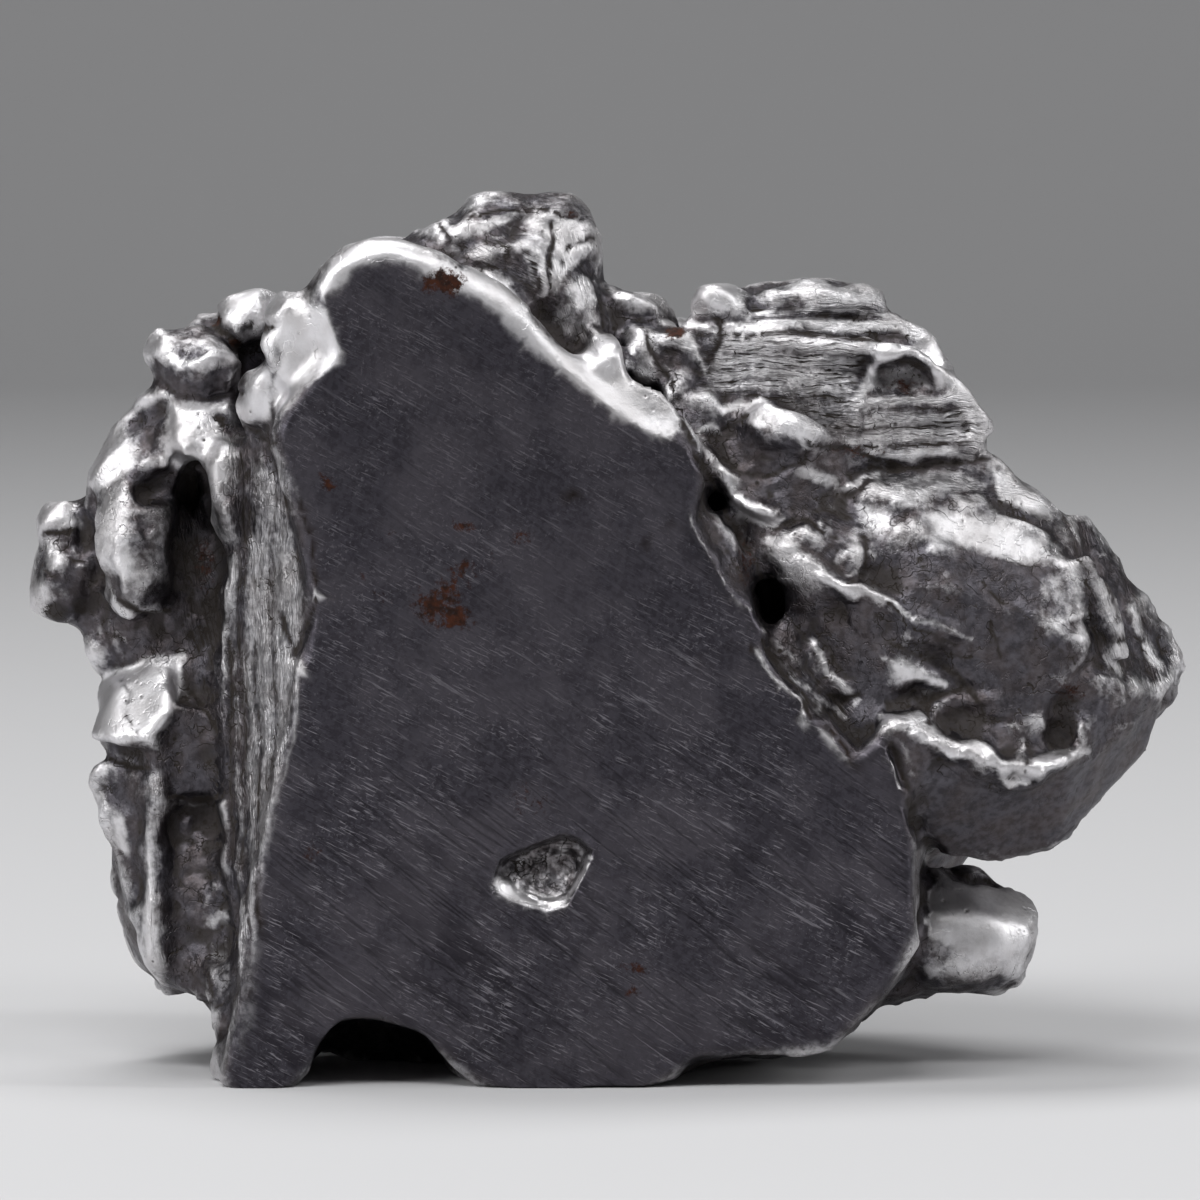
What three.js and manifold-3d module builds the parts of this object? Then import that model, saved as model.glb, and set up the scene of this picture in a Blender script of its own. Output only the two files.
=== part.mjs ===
// A lump of nickel-iron meteorite that stands on a table, with one flat ground face in front.
// The metal is a single piece: lumps, blocks and plates grown together, parted by crevices.
import * as THREE from "three";
import { ConvexGeometry } from "three/addons/geometries/ConvexGeometry.js";
import { ImprovedNoise } from "three/addons/math/ImprovedNoise.js";
import { TessellateModifier } from "three/addons/modifiers/TessellateModifier.js";
import { mergeVertices } from "three/addons/utils/BufferGeometryUtils.js";
import Module from "manifold-3d";

// Every place is [x, y, z] in millimetres as it looks from the front, measured on the ground face's plane:
// x to the right from the left end, y the depth behind the face, z up from the table.
const VIEW_DISTANCE = 350; // from the eye to the ground face
const VIEW_CENTRE = { x: 20, z: 17.2 }; // where the line of sight meets the face
const VIEW_TILT = THREE.MathUtils.degToRad(4); // the eye looks down by this much

const FACE_ROUNDING = 0.5; // the rolled edge of the ground face
const SLAB_DEPTH = 8.5;
const GROUND_AWAY = 0.12; // how far the slab rises past the face before it is ground flat
const AHEAD = -1; // the depth in front of everything, where the cuts from the front begin

const GRAIN = 0.56; // how far the surface wanders from its plain form
const GRAIN_LENGTH = 3.2; // the length of one wander
const FINER_LENGTH = 1.4; // and of the finer wanders on it
const FINER_SHARE = 0.5;
const BAR_WEATHER = 0.6; // bars wander less
const NOISE_START = [7.3, 1.9, 4.1]; // off the whole numbers, where the noise is nil
const NOISE_APART = 40; // between the three noises that move x, y and z

const LUMP_DETAIL = 1; // how often the sides of a lump's twenty triangles are split
const BLOCK_SPAN = 8; // the longest side of a triangle on a block
const BULK_SPAN = 11; // and on the bulk behind
const BAR_SPACING = 2.1; // from section to section of a bar
const SAME_VERTEX = 1e-4; // corners closer than this are one
const CUTTER = 120; // longer than the stone

// The ground face, clockwise from its upper left lobe: hammered edges are curves, torn edges straight steps.
const FACE_START = [10.4, 27.4];
const FACE_TOP = [
  [10.7, 28.5], [11.9, 29.2], [13.2, 29.2], [15.6, 28.0], [17.1, 27.0], [18.2, 25.8], [19.7, 24.5],
  [21.3, 23.3], [22.6, 22.7], [23.2, 21.9], [22.9, 19.9],
];
const FACE_TORN_EDGE = [
  [23.6, 18.8], [24.4, 17.4], [25.2, 16.9], [25.5, 16.0], [25.2, 15.5], [26.0, 14.4], [27.0, 13.6],
  [27.1, 12.9], [27.9, 12.7], [28.6, 11.8], [29.1, 11.3], [29.9, 12.1], [30.4, 10.9], [30.4, 10.0],
];
const FACE_RIGHT = [
  [30.7, 8.2], [30.7, 5.7], [30.0, 4.2], [28.0, 2.0], [25.6, 1.7], [23.2, 1.5], [21.6, 0.4], [17.0, 0.0],
];
const FACE_ARCH = [[15.7, 0.8], [13.9, 2.2], [12.4, 2.9], [11.2, 2.8], [10.2, 1.9], [8.6, 0.05]];
const FACE_LEFT = [
  [7.6, -0.1], [7.2, 0.6], [7.6, 2.6], [8.3, 7.6], [9.4, 12.7], [10.2, 16.9], [9.5, 21.1], [9.0, 23.2],
  [10.6, 25.2], [10.9, 26.0],
];

const wasm = await Module();
wasm.setup();
const noise = new ImprovedNoise();

// A closed geometry as a solid that can be joined and cut.
function solid(geometry) {
  const bare = geometry.clone();
  bare.deleteAttribute("normal");
  bare.deleteAttribute("uv");
  const merged = mergeVertices(bare, SAME_VERTEX);
  const vertProperties = new Float32Array(merged.attributes.position.array);
  const triVerts = new Uint32Array(merged.index.array);
  return new wasm.Manifold(new wasm.Mesh({ numProp: 3, vertProperties, triVerts }));
}

// Moves every vertex by a smooth field that is the same for all the pieces, so that they still meet.
function weathered(geometry, amount = 1) {
  const position = geometry.attributes.position;
  const start = new THREE.Vector3(...NOISE_START);
  for (let i = 0; i < position.count; i++) {
    const place = new THREE.Vector3().fromBufferAttribute(position, i);
    const wander = (axis, length) => {
      const q = place.clone().divideScalar(length).add(start).addScalar(axis * NOISE_APART / length);
      return noise.noise(q.x, q.y, q.z);
    };
    const moved = place.toArray().map((value, axis) => (
      value + amount * GRAIN * (wander(axis, GRAIN_LENGTH) + FINER_SHARE * wander(axis, FINER_LENGTH))));
    position.setXYZ(i, ...moved);
  }
  return geometry;
}

// A lump between a ball and a box: squareness 2 is a ball, 6 nearly a box. Turns are in degrees.
function lump(centre, half, { squareness = 2.4, turn = [0, 0, 0] } = {}) {
  const geometry = new THREE.IcosahedronGeometry(1, LUMP_DETAIL);
  const position = geometry.attributes.position;
  for (let i = 0; i < position.count; i++) {
    const d = new THREE.Vector3().fromBufferAttribute(position, i);
    const sum = d.toArray().reduce((total, value) => total + Math.abs(value) ** squareness, 0);
    d.multiplyScalar(sum ** (-1 / squareness));
    position.setXYZ(i, d.x * half[0], d.y * half[1], d.z * half[2]);
  }
  const turned = new THREE.Euler(...turn.map(THREE.MathUtils.degToRad));
  geometry.applyMatrix4(new THREE.Matrix4().makeRotationFromEuler(turned));
  geometry.translate(...centre);
  return solid(weathered(geometry));
}

// A block with flat facets between its corners.
function block(corners, { span = BLOCK_SPAN, weather = 1 } = {}) {
  const hull = new ConvexGeometry(corners.map((corner) => new THREE.Vector3(...corner)));
  return solid(weathered(new TessellateModifier(span).modify(hull), weather));
}

// A rounded bar along a smooth line, such as a lip, a rib or a ledge.
function bar(points, radius) {
  const path = new THREE.CatmullRomCurve3(points.map((point) => new THREE.Vector3(...point)));
  const section = new THREE.Shape().absarc(0, 0, radius, 0, Math.PI * 2);
  const steps = Math.max(3, Math.round(path.getLength() / BAR_SPACING));
  const geometry = new THREE.ExtrudeGeometry(section, { steps, extrudePath: path, curveSegments: 3 });
  return solid(weathered(geometry, BAR_WEATHER));
}

const vectors = (points) => points.map((point) => new THREE.Vector2(...point));

// A plate whose outline is seen from the front, from depth near to depth far.
function plate(outline, near, far, { rounding = 0, weather = 0.5 } = {}) {
  const shape = outline instanceof THREE.Shape ? outline : new THREE.Shape(vectors(outline));
  const geometry = new THREE.ExtrudeGeometry(shape, {
    depth: far - near - 2 * rounding,
    curveSegments: 2,
    bevelEnabled: rounding > 0,
    bevelThickness: rounding,
    bevelSize: rounding,
    bevelSegments: 1,
  });
  geometry.rotateX(Math.PI / 2);
  geometry.translate(0, far - rounding, 0);
  return solid(weathered(geometry, weather));
}

const joined = (solids) => solids.reduce((whole, next) => whole.add(next));

// The slab that carries the ground face. Its front rises a little past the face, and is then ground flat.
function slab() {
  const outline = new THREE.Shape().moveTo(...FACE_START).splineThru(vectors(FACE_TOP));
  FACE_TORN_EDGE.forEach((point) => outline.lineTo(...point));
  outline.splineThru(vectors(FACE_RIGHT)).splineThru(vectors(FACE_ARCH)).splineThru(vectors(FACE_LEFT));
  outline.closePath();
  return plate(outline, -GROUND_AWAY, SLAB_DEPTH, { rounding: FACE_ROUNDING, weather: 0 });
}

// The rolled lip along the top of the face, and the torn side of the slab down in the crevice.
function slabEdges() {
  return [
    bar([[10.75, 0.8, 27.7], [11.0, 0.8, 28.6], [11.8, 0.8, 29.15], [12.8, 0.8, 29.15], [14.0, 0.8, 28.65],
      [15.4, 0.8, 28.1], [16.6, 0.8, 27.45], [17.55, 0.8, 26.45], [18.5, 0.8, 25.5], [19.6, 0.8, 24.95]],
      0.8),
    lump([20.45, 1.7, 25.5], [0.85, 1.5, 1.0], { squareness: 2.8 }),
    bar([[20.6, 0.9, 24.6], [21.7, 0.9, 23.9], [22.6, 0.9, 23.2], [23.0, 0.8, 22.2], [23.0, 0.8, 20.8]],
      0.62),
    block([[22.8, 0.2, 20.2], [23.7, 0.2, 18.6], [25.2, 0.3, 16.9], [24.3, 1.8, 20.1], [25.1, 2.0, 18.9],
      [25.6, 2.0, 17.6], [22.0, 6.0, 20.2], [23.4, 6.0, 17.4], [24.6, 6.0, 18.4], [24.6, 5.0, 20.0]]),
  ];
}

// The bulk behind the slab, with the foot that it stands on at the back.
function bulk() {
  return [
    block([[9, 13, 26.4], [14.5, 14.5, 27.6], [20, 13.5, 27.4], [26, 13, 25.4], [30, 14, 22.8],
      [35, 13, 18.6], [37, 12, 14.5], [34.8, 13, 10.4], [31.5, 13.5, 6.4], [27, 15.5, 2.6], [20, 18.4, 0.6],
      [13, 17.2, 0.5], [8, 14, 1.8], [5.2, 11.5, 5.5], [4.2, 11, 11], [4.2, 11.5, 18], [5.8, 12, 23.6],
      [10.5, 18.6, 20.5], [16.5, 20.4, 23], [23, 20, 19.5], [29, 18.2, 16], [29.5, 17.6, 10],
      [23, 20.8, 8.6], [15, 20.8, 12.5], [9, 18.8, 10], [9, 6, 24], [20, 6, 25], [27, 6, 21], [32, 6, 15],
      [30, 6.5, 7.5], [24, 6, 1.8], [12, 6.5, 1.4], [7.4, 6, 4], [7, 6, 20]], { span: BULK_SPAN }),
    lump([12.0, 13.0, 24.0], [4.4, 4.2, 4.0], { turn: [0, 20, 0] }),
    lump([22.5, 14.0, 23.5], [5.6, 4.4, 3.6], { turn: [0, 15, 10] }),
    lump([12.0, 15.5, 6.0], [5.0, 4.2, 4.2]),
  ];
}

// The left flank: an outer wall of lobes and blocks, a deep groove, and a fluted panel beside the face.
function leftFlank() {
  return [
    // the knob that stands out at the far left
    lump([1.2, 7.2, 19.85], [0.95, 1.2, 0.95]),
    lump([1.3, 7.0, 17.9], [1.15, 1.4, 1.6], { squareness: 2.8 }),
    lump([1.6, 7.2, 18.8], [1.15, 1.2, 1.0]),
    lump([2.9, 7.2, 16.2], [0.95, 1.3, 1.6]),
    // the outer wall
    block([[4.4, 5.2, 25.0], [3.0, 5.8, 23.2], [2.0, 5.9, 21.4], [1.9, 6.2, 20.8], [2.5, 6.2, 19.0],
      [3.4, 6.2, 16.6], [3.2, 6.0, 14.8], [5.0, 4.8, 24.8], [5.1, 5.0, 22.4], [4.9, 5.6, 15.0],
      [5.6, 10, 24.4], [2.6, 10, 20.6], [3.4, 10, 15.0], [5.6, 10, 15.0]]),
    block([[3.9, 4.7, 23.6], [2.6, 5.2, 22.2], [2.1, 5.4, 21.2], [2.3, 4.9, 20.7], [3.6, 4.3, 20.9],
      [4.4, 4.2, 22.0], [4.6, 4.4, 23.4], [4.6, 7, 23.4], [2.4, 7, 20.8]]),
    lump([3.75, 5.1, 19.2], [1.35, 1.6, 2.35], { squareness: 3 }),
    block([[2.7, 5.6, 14.5], [4.3, 5.2, 15.0], [5.3, 5.0, 14.9], [5.2, 4.0, 13.1], [4.4, 3.8, 12.3],
      [2.8, 4.4, 12.0], [2.1, 5.4, 12.6], [2.2, 8, 14.2], [5.4, 8, 15], [5.4, 8, 12], [2.4, 8, 12]]),
    block([[2.3, 6.4, 11.3], [2.6, 6.6, 9.4], [3.5, 6.2, 8.0], [3.8, 5.4, 6.6], [4.0, 5.2, 4.6],
      [4.7, 4.7, 3.7], [5.0, 4.6, 5.5], [4.8, 4.5, 11.6], [4.0, 5.0, 12.0], [3.4, 10, 11.6], [3.9, 10, 4.4],
      [5.4, 10, 11.6], [5.4, 10, 3.8]]),
    bar([[4.55, 4.7, 12.2], [4.6, 4.6, 9.0], [4.5, 4.7, 6.0], [4.8, 4.8, 4.0]], 0.42),
    // the lumps over the top of the flank
    block([[4.4, 4.6, 25.5], [5.4, 4.0, 25.0], [6.5, 3.8, 25.3], [7.7, 4.3, 25.4], [4.6, 5.0, 24.4],
      [6.0, 4.7, 24.1], [7.6, 4.9, 24.4], [4.0, 5.4, 25.9], [4.5, 5.5, 26.7], [5.3, 5.6, 27.0],
      [6.5, 5.4, 26.8], [7.4, 5.1, 26.1], [5.0, 4.5, 26.3], [6.3, 4.3, 26.2], [4.6, 8, 25.0], [7.4, 8, 25.0],
      [5.8, 8, 26.6]], { weather: 0.5 }),
    lump([7.75, 6.4, 27.3], [1.45, 1.5, 0.85], { squareness: 2.8, turn: [0, -8, 0] }),
    lump([7.2, 8.2, 25.6], [2.3, 1.8, 1.7]),
    lump([9.55, 2.2, 26.0], [1.4, 1.9, 2.0], { squareness: 3, turn: [0, 12, 0] }),
    lump([7.95, 2.6, 24.1], [0.78, 1.3, 1.25], { squareness: 2.8 }),
    block([[4.7, 4.9, 24.7], [5.1, 4.0, 23.0], [5.3, 3.9, 22.3], [6.0, 4.1, 22.0], [6.9, 4.1, 22.0],
      [7.5, 4.4, 22.8], [7.4, 4.8, 24.6], [5.0, 8, 24.6], [7.6, 8, 24.4], [5.4, 7, 22.4], [7.4, 7, 22.2]]),
    lump([6.95, 4.3, 21.2], [0.62, 1.5, 1.9], { squareness: 2.6 }),
    // the fluted panel beside the face
    block([[9.9, 1.0, 24.0], [8.2, 3.2, 23.4], [7.2, 4.1, 22.6], [6.7, 4.5, 14.0], [6.6, 4.5, 5.0],
      [7.4, 2.6, 2.6], [8.4, 0.9, 4.0], [9.6, 1.0, 12.0], [10.6, 1.0, 17.0], [10.5, 9.0, 23.0],
      [6.6, 9.0, 22.0], [6.6, 9.0, 3.0], [10.0, 9.0, 3.0]]),
    bar([[7.3, 3.8, 21.4], [7.1, 3.9, 17.0], [7.0, 3.9, 12.0], [7.1, 3.7, 7.6], [7.3, 3.2, 3.4]], 0.34),
    bar([[8.1, 3.0, 22.0], [8.3, 2.9, 17.6], [7.9, 3.0, 13.0], [7.7, 3.0, 8.0]], 0.32),
    // the floor of the groove between them
    block([[4.6, 7.4, 22.4], [6.9, 7.2, 22.4], [6.9, 5.9, 18.6], [4.6, 6.0, 18.6], [6.9, 5.3, 14.0],
      [4.6, 5.4, 14.0], [4.6, 5.4, 3.4], [6.9, 5.2, 3.2], [4.4, 11, 22.0], [7.0, 11, 22.0], [7.0, 11, 3.6],
      [4.6, 11, 3.6]]),
    block([[4.9, 4.5, 13.5], [6.6, 4.3, 13.2], [6.7, 4.5, 10.4], [4.9, 4.7, 10.3], [4.9, 8, 13.6],
      [6.8, 8, 13.6], [6.8, 8, 10.4], [4.9, 8, 10.4]]),
    block([[4.8, 5.6, 9.5], [5.8, 5.4, 9.7], [6.6, 5.2, 9.2], [6.6, 4.2, 6.0], [4.8, 4.9, 6.2],
      [6.5, 4.0, 4.0], [6.2, 4.2, 2.9], [4.9, 4.8, 3.6], [4.8, 8, 9.4], [6.6, 8, 9.2], [6.6, 8, 3.0]]),
    // nubs at the foot of the face
    lump([6.75, 2.3, 1.5], [0.6, 1.0, 0.7]),
    block([[6.2, 3.6, 4.2], [7.2, 2.2, 4.6], [7.2, 2.0, 2.0], [6.4, 2.8, 2.3], [6.4, 7, 4.4], [8, 7, 4.4],
      [8, 6, 2.0], [6.6, 6, 2.2]]),
  ];
}

// The knob and small lumps that look over the top edge of the face.
function crest() {
  return [
    lump([18.2, 5.6, 29.4], [1.95, 2.3, 1.95], { squareness: 2.8, turn: [0, -8, 0] }),
    lump([19.4, 4.2, 27.2], [0.95, 1.6, 1.7], { turn: [0, -14, 0] }),
    lump([14.9, 4.3, 29.6], [2.2, 1.7, 0.95], { turn: [0, -12, 0] }),
    lump([16.6, 5.4, 30.05], [1.7, 2.0, 1.3]),
    lump([16.7, 4.8, 28.2], [2.9, 2.9, 1.9]),
    lump([21.2, 6.2, 26.6], [1.4, 2.0, 1.5], { squareness: 3.2 }),
    block([[22.2, 3.2, 26.6], [23.2, 3.0, 26.5], [24.0, 3.2, 25.9], [24.1, 3.4, 25.2], [23.2, 3.0, 25.4],
      [22.4, 3.2, 25.6], [22.4, 6, 26.6], [24.2, 6, 26.0], [23.0, 6, 25]]),
    lump([22.6, 4.2, 24.6], [0.7, 1.6, 0.75], { squareness: 3.4 }),
    lump([21.6, 4.0, 25.6], [0.9, 1.2, 0.9]),
  ];
}

// The layered wedge at the upper right, with its ledges.
function wedge() {
  return [
    block([[23.4, 4.4, 27.4], [24.4, 5.4, 28.0], [29.1, 5.4, 28.0], [31.4, 4.8, 26.7], [32.7, 4.7, 25.4],
      [33.3, 4.8, 24.0], [33.6, 4.9, 22.6], [28.8, 3.3, 22.4], [23.8, 2.9, 23.2], [23.2, 3.3, 25.0],
      [24.0, 11, 27.3], [30.0, 12, 26.8], [33.2, 10.5, 24.2], [33.3, 10, 22.2], [24.0, 11, 22.0]]),
    lump([24.45, 5.2, 27.7], [1.0, 1.5, 0.75], { squareness: 3 }),
    lump([27.2, 6.0, 27.7], [2.6, 2.0, 0.7], { squareness: 3 }),
    bar([[24.0, 3.7, 26.2], [26.4, 3.6, 26.15], [29.0, 3.5, 26.05], [30.9, 3.7, 25.7], [32.0, 3.9, 24.9]],
      0.42),
    bar([[32.2, 4.2, 25.0], [33.0, 4.3, 23.8], [33.3, 4.4, 22.8]], 0.5),
    bar([[28.6, 3.7, 23.9], [30.2, 3.9, 23.8], [32.0, 4.2, 23.9]], 0.36),
    bar([[28.4, 2.9, 22.6], [30.5, 3.4, 22.5], [33.2, 4.1, 22.5]], 0.36),
    lump([26.3, 2.8, 22.95], [1.5, 1.3, 0.8], { squareness: 3, turn: [0, 12, 0] }),
    lump([28.5, 3.7, 22.2], [1.1, 1.2, 0.75]),
    lump([23.4, 3.3, 23.6], [0.85, 1.0, 0.8]),
  ];
}

// The crumpled steps between the crevice and the great block.
function steps() {
  return [
    block([[23.3, 2.5, 22.9], [24.3, 1.9, 21.9], [26.4, 1.7, 20.1], [25.2, 2.4, 19.2], [24.5, 2.5, 19.9],
      [27.2, 2.3, 21.9], [28.8, 2.7, 21.4], [29.1, 3.0, 19.3], [27.2, 2.1, 19.9], [23.4, 8, 22.9],
      [29, 8, 22], [29, 8, 19], [25, 8, 19.2]]),
    bar([[23.6, 2.4, 22.5], [24.4, 2.0, 21.4], [25.3, 1.8, 20.6], [26.3, 1.7, 20.0]], 0.34),
    block([[26.0, 2.1, 19.4], [26.4, 1.5, 18.7], [28.6, 1.0, 17.5], [31.4, 1.2, 16.4], [32.6, 1.5, 15.8],
      [26.0, 2.4, 17.0], [26.8, 2.3, 15.7], [27.8, 2.0, 14.2], [29.1, 1.6, 13.6], [31.0, 1.5, 14.0],
      [26.2, 8, 19.4], [32, 8, 16.4], [27, 8, 14], [31, 8, 13.8]]),
    bar([[26.2, 1.7, 18.9], [27.2, 1.2, 18.3], [28.4, 1.0, 17.6], [29.6, 1.0, 17.2], [31.0, 1.1, 16.4],
      [32.2, 1.3, 15.9]], 0.36),
    lump([27.6, 2.3, 19.2], [0.95, 0.9, 0.65]),
    lump([28.7, 2.4, 18.8], [0.8, 0.9, 0.95]),
    // the torn metal that closes most of the crevice
    block([[25.4, 2.0, 19.6], [25.6, 1.9, 18.4], [25.9, 2.2, 17.4], [26.7, 2.0, 17.4], [26.6, 1.7, 19.2],
      [25.4, 6, 19.5], [26.8, 6, 17.2], [26.8, 6, 19.4]]),
    block([[25.8, 1.6, 16.4], [26.3, 1.1, 15.2], [27.1, 1.0, 14.0], [27.7, 1.1, 13.2], [28.3, 1.3, 12.4],
      [29.0, 1.5, 11.8], [29.6, 1.6, 12.8], [29.4, 1.9, 14.0], [28.0, 1.5, 14.8], [27.0, 1.7, 16.2],
      [26.3, 2.2, 17.2], [26.0, 6, 16.8], [29.2, 6, 11.8], [29.6, 6, 14.0]]),
  ];
}

// The great block on the right, its shoulder, and the lump that hangs below it.
function greatBlock() {
  return [
    block([[28.6, 2.6, 20.7], [31.6, 2.8, 21.2], [35.4, 3.0, 19.7], [36.5, 2.6, 18.3], [36.9, 2.2, 15.8],
      [36.3, 2.0, 13.6], [29.2, 1.6, 13.6], [28.4, 1.9, 16.8], [28.0, 2.6, 18.8], [32.0, 1.2, 17.6],
      [35.0, 1.4, 16.6], [30.0, 12, 20.5], [36.0, 12, 19.5], [36.5, 12, 13.5], [30.0, 12, 13.5]]),
    block([[29.7, 0.5, 12.5], [33.0, 0.9, 11.9], [34.0, 1.1, 11.2], [36.9, 1.7, 11.4], [38.6, 3.6, 13.9],
      [40.0, 6.0, 14.2], [40.2, 8.0, 15.2], [39.2, 5.6, 11.6], [36.2, 4.6, 8.9], [34.0, 4.2, 7.8],
      [31.8, 3.6, 8.3], [30.6, 1.4, 10.2], [29.6, 2.0, 13.6], [36.9, 2.6, 14.2], [31.0, 12, 9.0],
      [36.0, 12, 9.5], [39.2, 11.5, 13.8], [31.0, 12, 13.8]]),
    block([[36.0, 4.6, 20.1], [37.0, 6.0, 20.3], [38.2, 6.8, 18.5], [39.0, 7.2, 17.5], [39.9, 7.8, 16.5],
      [40.4, 8.4, 15.0], [40.1, 7.0, 13.7], [36.5, 2.9, 18.0], [37.2, 2.9, 14.0], [38.0, 4.0, 12.4],
      [36.4, 12, 19.0], [39.4, 12, 15.0], [37.0, 12, 12.0]]),
    block([[28.9, 3.4, 21.9], [33.7, 4.3, 22.1], [34.7, 4.8, 21.2], [36.3, 5.4, 20.4], [36.2, 4.3, 19.4],
      [32.0, 3.1, 20.9], [29.0, 2.8, 21.0], [29.0, 10, 22.0], [34.6, 10, 21.2], [36.0, 10, 19.8]]),
    // the toothed lower edge, and the ridge beside the lens-shaped scoop
    bar([[31.0, 0.7, 12.6], [32.2, 0.7, 12.2], [33.4, 0.8, 11.9], [34.4, 1.0, 11.2], [35.4, 1.3, 11.0],
      [36.6, 1.6, 11.4]], 0.34),
    bar([[36.7, 2.9, 18.6], [37.3, 3.1, 17.6], [37.8, 3.4, 16.4], [37.9, 3.6, 15.4]], 0.45),
    lump([32.75, 8.0, 5.55], [2.35, 2.6, 2.2], { squareness: 3, turn: [10, 12, 0] }),
    lump([30.4, 9.0, 4.3], [2.0, 2.4, 1.2]),
  ];
}

// Everything that is missing from the metal: crevices, hollows, pits and the arch under the face.
function hollows() {
  return [
    // the crevice between the slab and the right-hand blocks, and the black hole in it
    plate([[21.8, 26.9], [22.7, 24.5], [23.3, 23.1], [23.85, 21.35], [24.4, 19.95], [25.1, 19.1],
      [25.45, 17.9], [25.8, 18.0], [25.4, 19.3], [24.7, 20.1], [24.15, 21.5], [23.6, 23.2], [23.0, 24.6],
      [22.1, 27.0]], AHEAD, 5),
    lump([25.9, 2.5, 17.0], [0.6, 3.4, 0.9]),
    plate([[25.5, 16.0], [26.3, 14.9], [27.2, 13.8], [27.6, 12.8], [27.9, 12.9], [27.5, 14.0], [26.6, 15.1],
      [25.8, 16.2]], AHEAD, 3.5),
    lump([28.5, 1.0, 13.3], [0.5, 0.9, 0.6]),
    // the slit at the lower right corner of the face, and the gap below it
    plate([[30.1, 12.2], [30.5, 12.0], [30.9, 10.7], [30.5, 10.9]], AHEAD, 2.6, { weather: 0.3 }),
    block([[30.9, AHEAD, 10.3], [31.6, AHEAD, 9.0], [31.3, AHEAD, 6.6], [31.1, AHEAD, 5.0], [31.2, 6, 9.4],
      [31.6, 6, 7.0], [31.2, 6, 5.0], [31.1, 5, 9.8]], { weather: 0.3 }),
    // pockets above the toothed edge of the great block, and the lens-shaped scoop
    lump([36.3, 1.5, 12.5], [0.7, 1.4, 0.65]),
    lump([36.6, 1.9, 13.4], [0.8, 1.0, 0.6], { turn: [0, -25, 0] }),
    lump([33.4, 0.4, 13.1], [2.3, 1.1, 0.75], { turn: [0, 18, 0] }),
    lump([31.4, 0.2, 15.3], [1.4, 1.3, 0.75], { turn: [0, 25, 0] }),
    // between the wedge and the shoulder
    plate([[29.6, 21.9], [30.4, 22.1], [31.4, 22.1], [34.4, 22.25], [34.4, 22.1], [31.5, 21.8],
      [30.6, 21.6], [30.0, 21.65]], 1, 4.4),
    // the hollow in the wedge
    lump([30.7, 3.6, 24.9], [1.05, 0.7, 0.6], { squareness: 2.6, turn: [0, 10, 0] }),
    // the groove of the left flank, with the hole at its top
    lump([5.75, 3.9, 18.2], [0.72, 1.6, 3.4], { squareness: 2.6 }),
    lump([5.6, 5.4, 20.9], [0.5, 2.4, 1.0], { squareness: 3 }),
    lump([4.2, 3.9, 21.2], [0.95, 1.1, 0.85]),
    lump([4.3, 3.8, 23.4], [0.42, 0.9, 0.8]),
    // the arch under the face
    lump([12.2, 3, -0.2], [2.55, 6.5, 2.9]),
    // the pit in the ground face
    block([[15.9, AHEAD, 7.1], [18.3, AHEAD, 6.1], [18.8, AHEAD, 6.4], [19.9, AHEAD, 8.4],
      [19.0, AHEAD, 9.0], [18.0, AHEAD, 8.8], [16.9, AHEAD, 8.0], [18.0, 1.5, 7.0], [18.9, 1.5, 7.2],
      [19.0, 1.5, 8.2], [18.0, 1.3, 7.9]], { weather: 0.2 }),
    // broad shallow thumbprints on the back and the left side
    lump([9.5, 20.5, 15.6], [4.5, 3.0, 4.6]),
    lump([17.5, 22.6, 17.8], [5.2, 3.4, 4.8]),
    lump([27.6, 20.2, 14.4], [4.6, 3.4, 4.8]),
    lump([26.0, 19.4, 21.4], [4.6, 3.2, 3.2]),
    lump([2.4, 13.5, 12.0], [2.4, 3.6, 5.0]),
  ];
}

// From where things look to be, to where they are: what is further back looks smaller and higher.
function placed(geometry) {
  const position = geometry.attributes.position;
  for (let i = 0; i < position.count; i++) {
    const depth = position.getY(i);
    const spread = 1 + depth / VIEW_DISTANCE;
    const x = VIEW_CENTRE.x + (position.getX(i) - VIEW_CENTRE.x) * spread;
    const rise = (position.getZ(i) - VIEW_CENTRE.z) * spread - depth * Math.sin(VIEW_TILT);
    position.setXYZ(i, x, depth, VIEW_CENTRE.z + rise / Math.cos(VIEW_TILT));
  }
  return geometry;
}

const cutter = (x, y, z) => solid(new THREE.BoxGeometry(CUTTER, CUTTER, CUTTER).translate(x, y, z));

function geometryOf(whole) {
  const mesh = whole.getMesh();
  const geometry = new THREE.BufferGeometry();
  const position = new Float32Array(mesh.numVert * 3);
  for (let i = 0; i < mesh.numVert; i++) {
    position.set(mesh.vertProperties.subarray(i * mesh.numProp, i * mesh.numProp + 3), i * 3);
  }
  geometry.setAttribute("position", new THREE.BufferAttribute(position, 3));
  geometry.setIndex(new THREE.BufferAttribute(new Uint32Array(mesh.triVerts), 1));
  return geometry;
}

function meteorite() {
  const grown = joined([
    slab(), ...slabEdges(), ...bulk(), ...leftFlank(), ...crest(), ...wedge(), ...steps(), ...greatBlock(),
  ]);
  const hollowed = grown.subtract(joined(hollows()));
  const standing = solid(placed(geometryOf(hollowed)));
  const ground = standing.subtract(cutter(0, -CUTTER / 2, 0)).subtract(cutter(0, 0, -CUTTER / 2));
  const largest = ground.decompose().sort((a, b) => b.volume() - a.volume())[0];
  const geometry = geometryOf(largest);
  geometry.computeBoundingBox();
  const { min, max } = geometry.boundingBox;
  geometry.computeVertexNormals();
  const material = new THREE.MeshStandardMaterial({ color: 0x8a8b90, roughness: 0.35, metalness: 1 });
  const mesh = new THREE.Mesh(geometry, material);
  mesh.name = "meteorite";
  mesh.position.set(-(min.x + max.x) / 2, -(min.y + max.y) / 2, -min.z);
  return mesh;
}

const model = new THREE.Group();
model.add(meteorite());
export default model;
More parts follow.
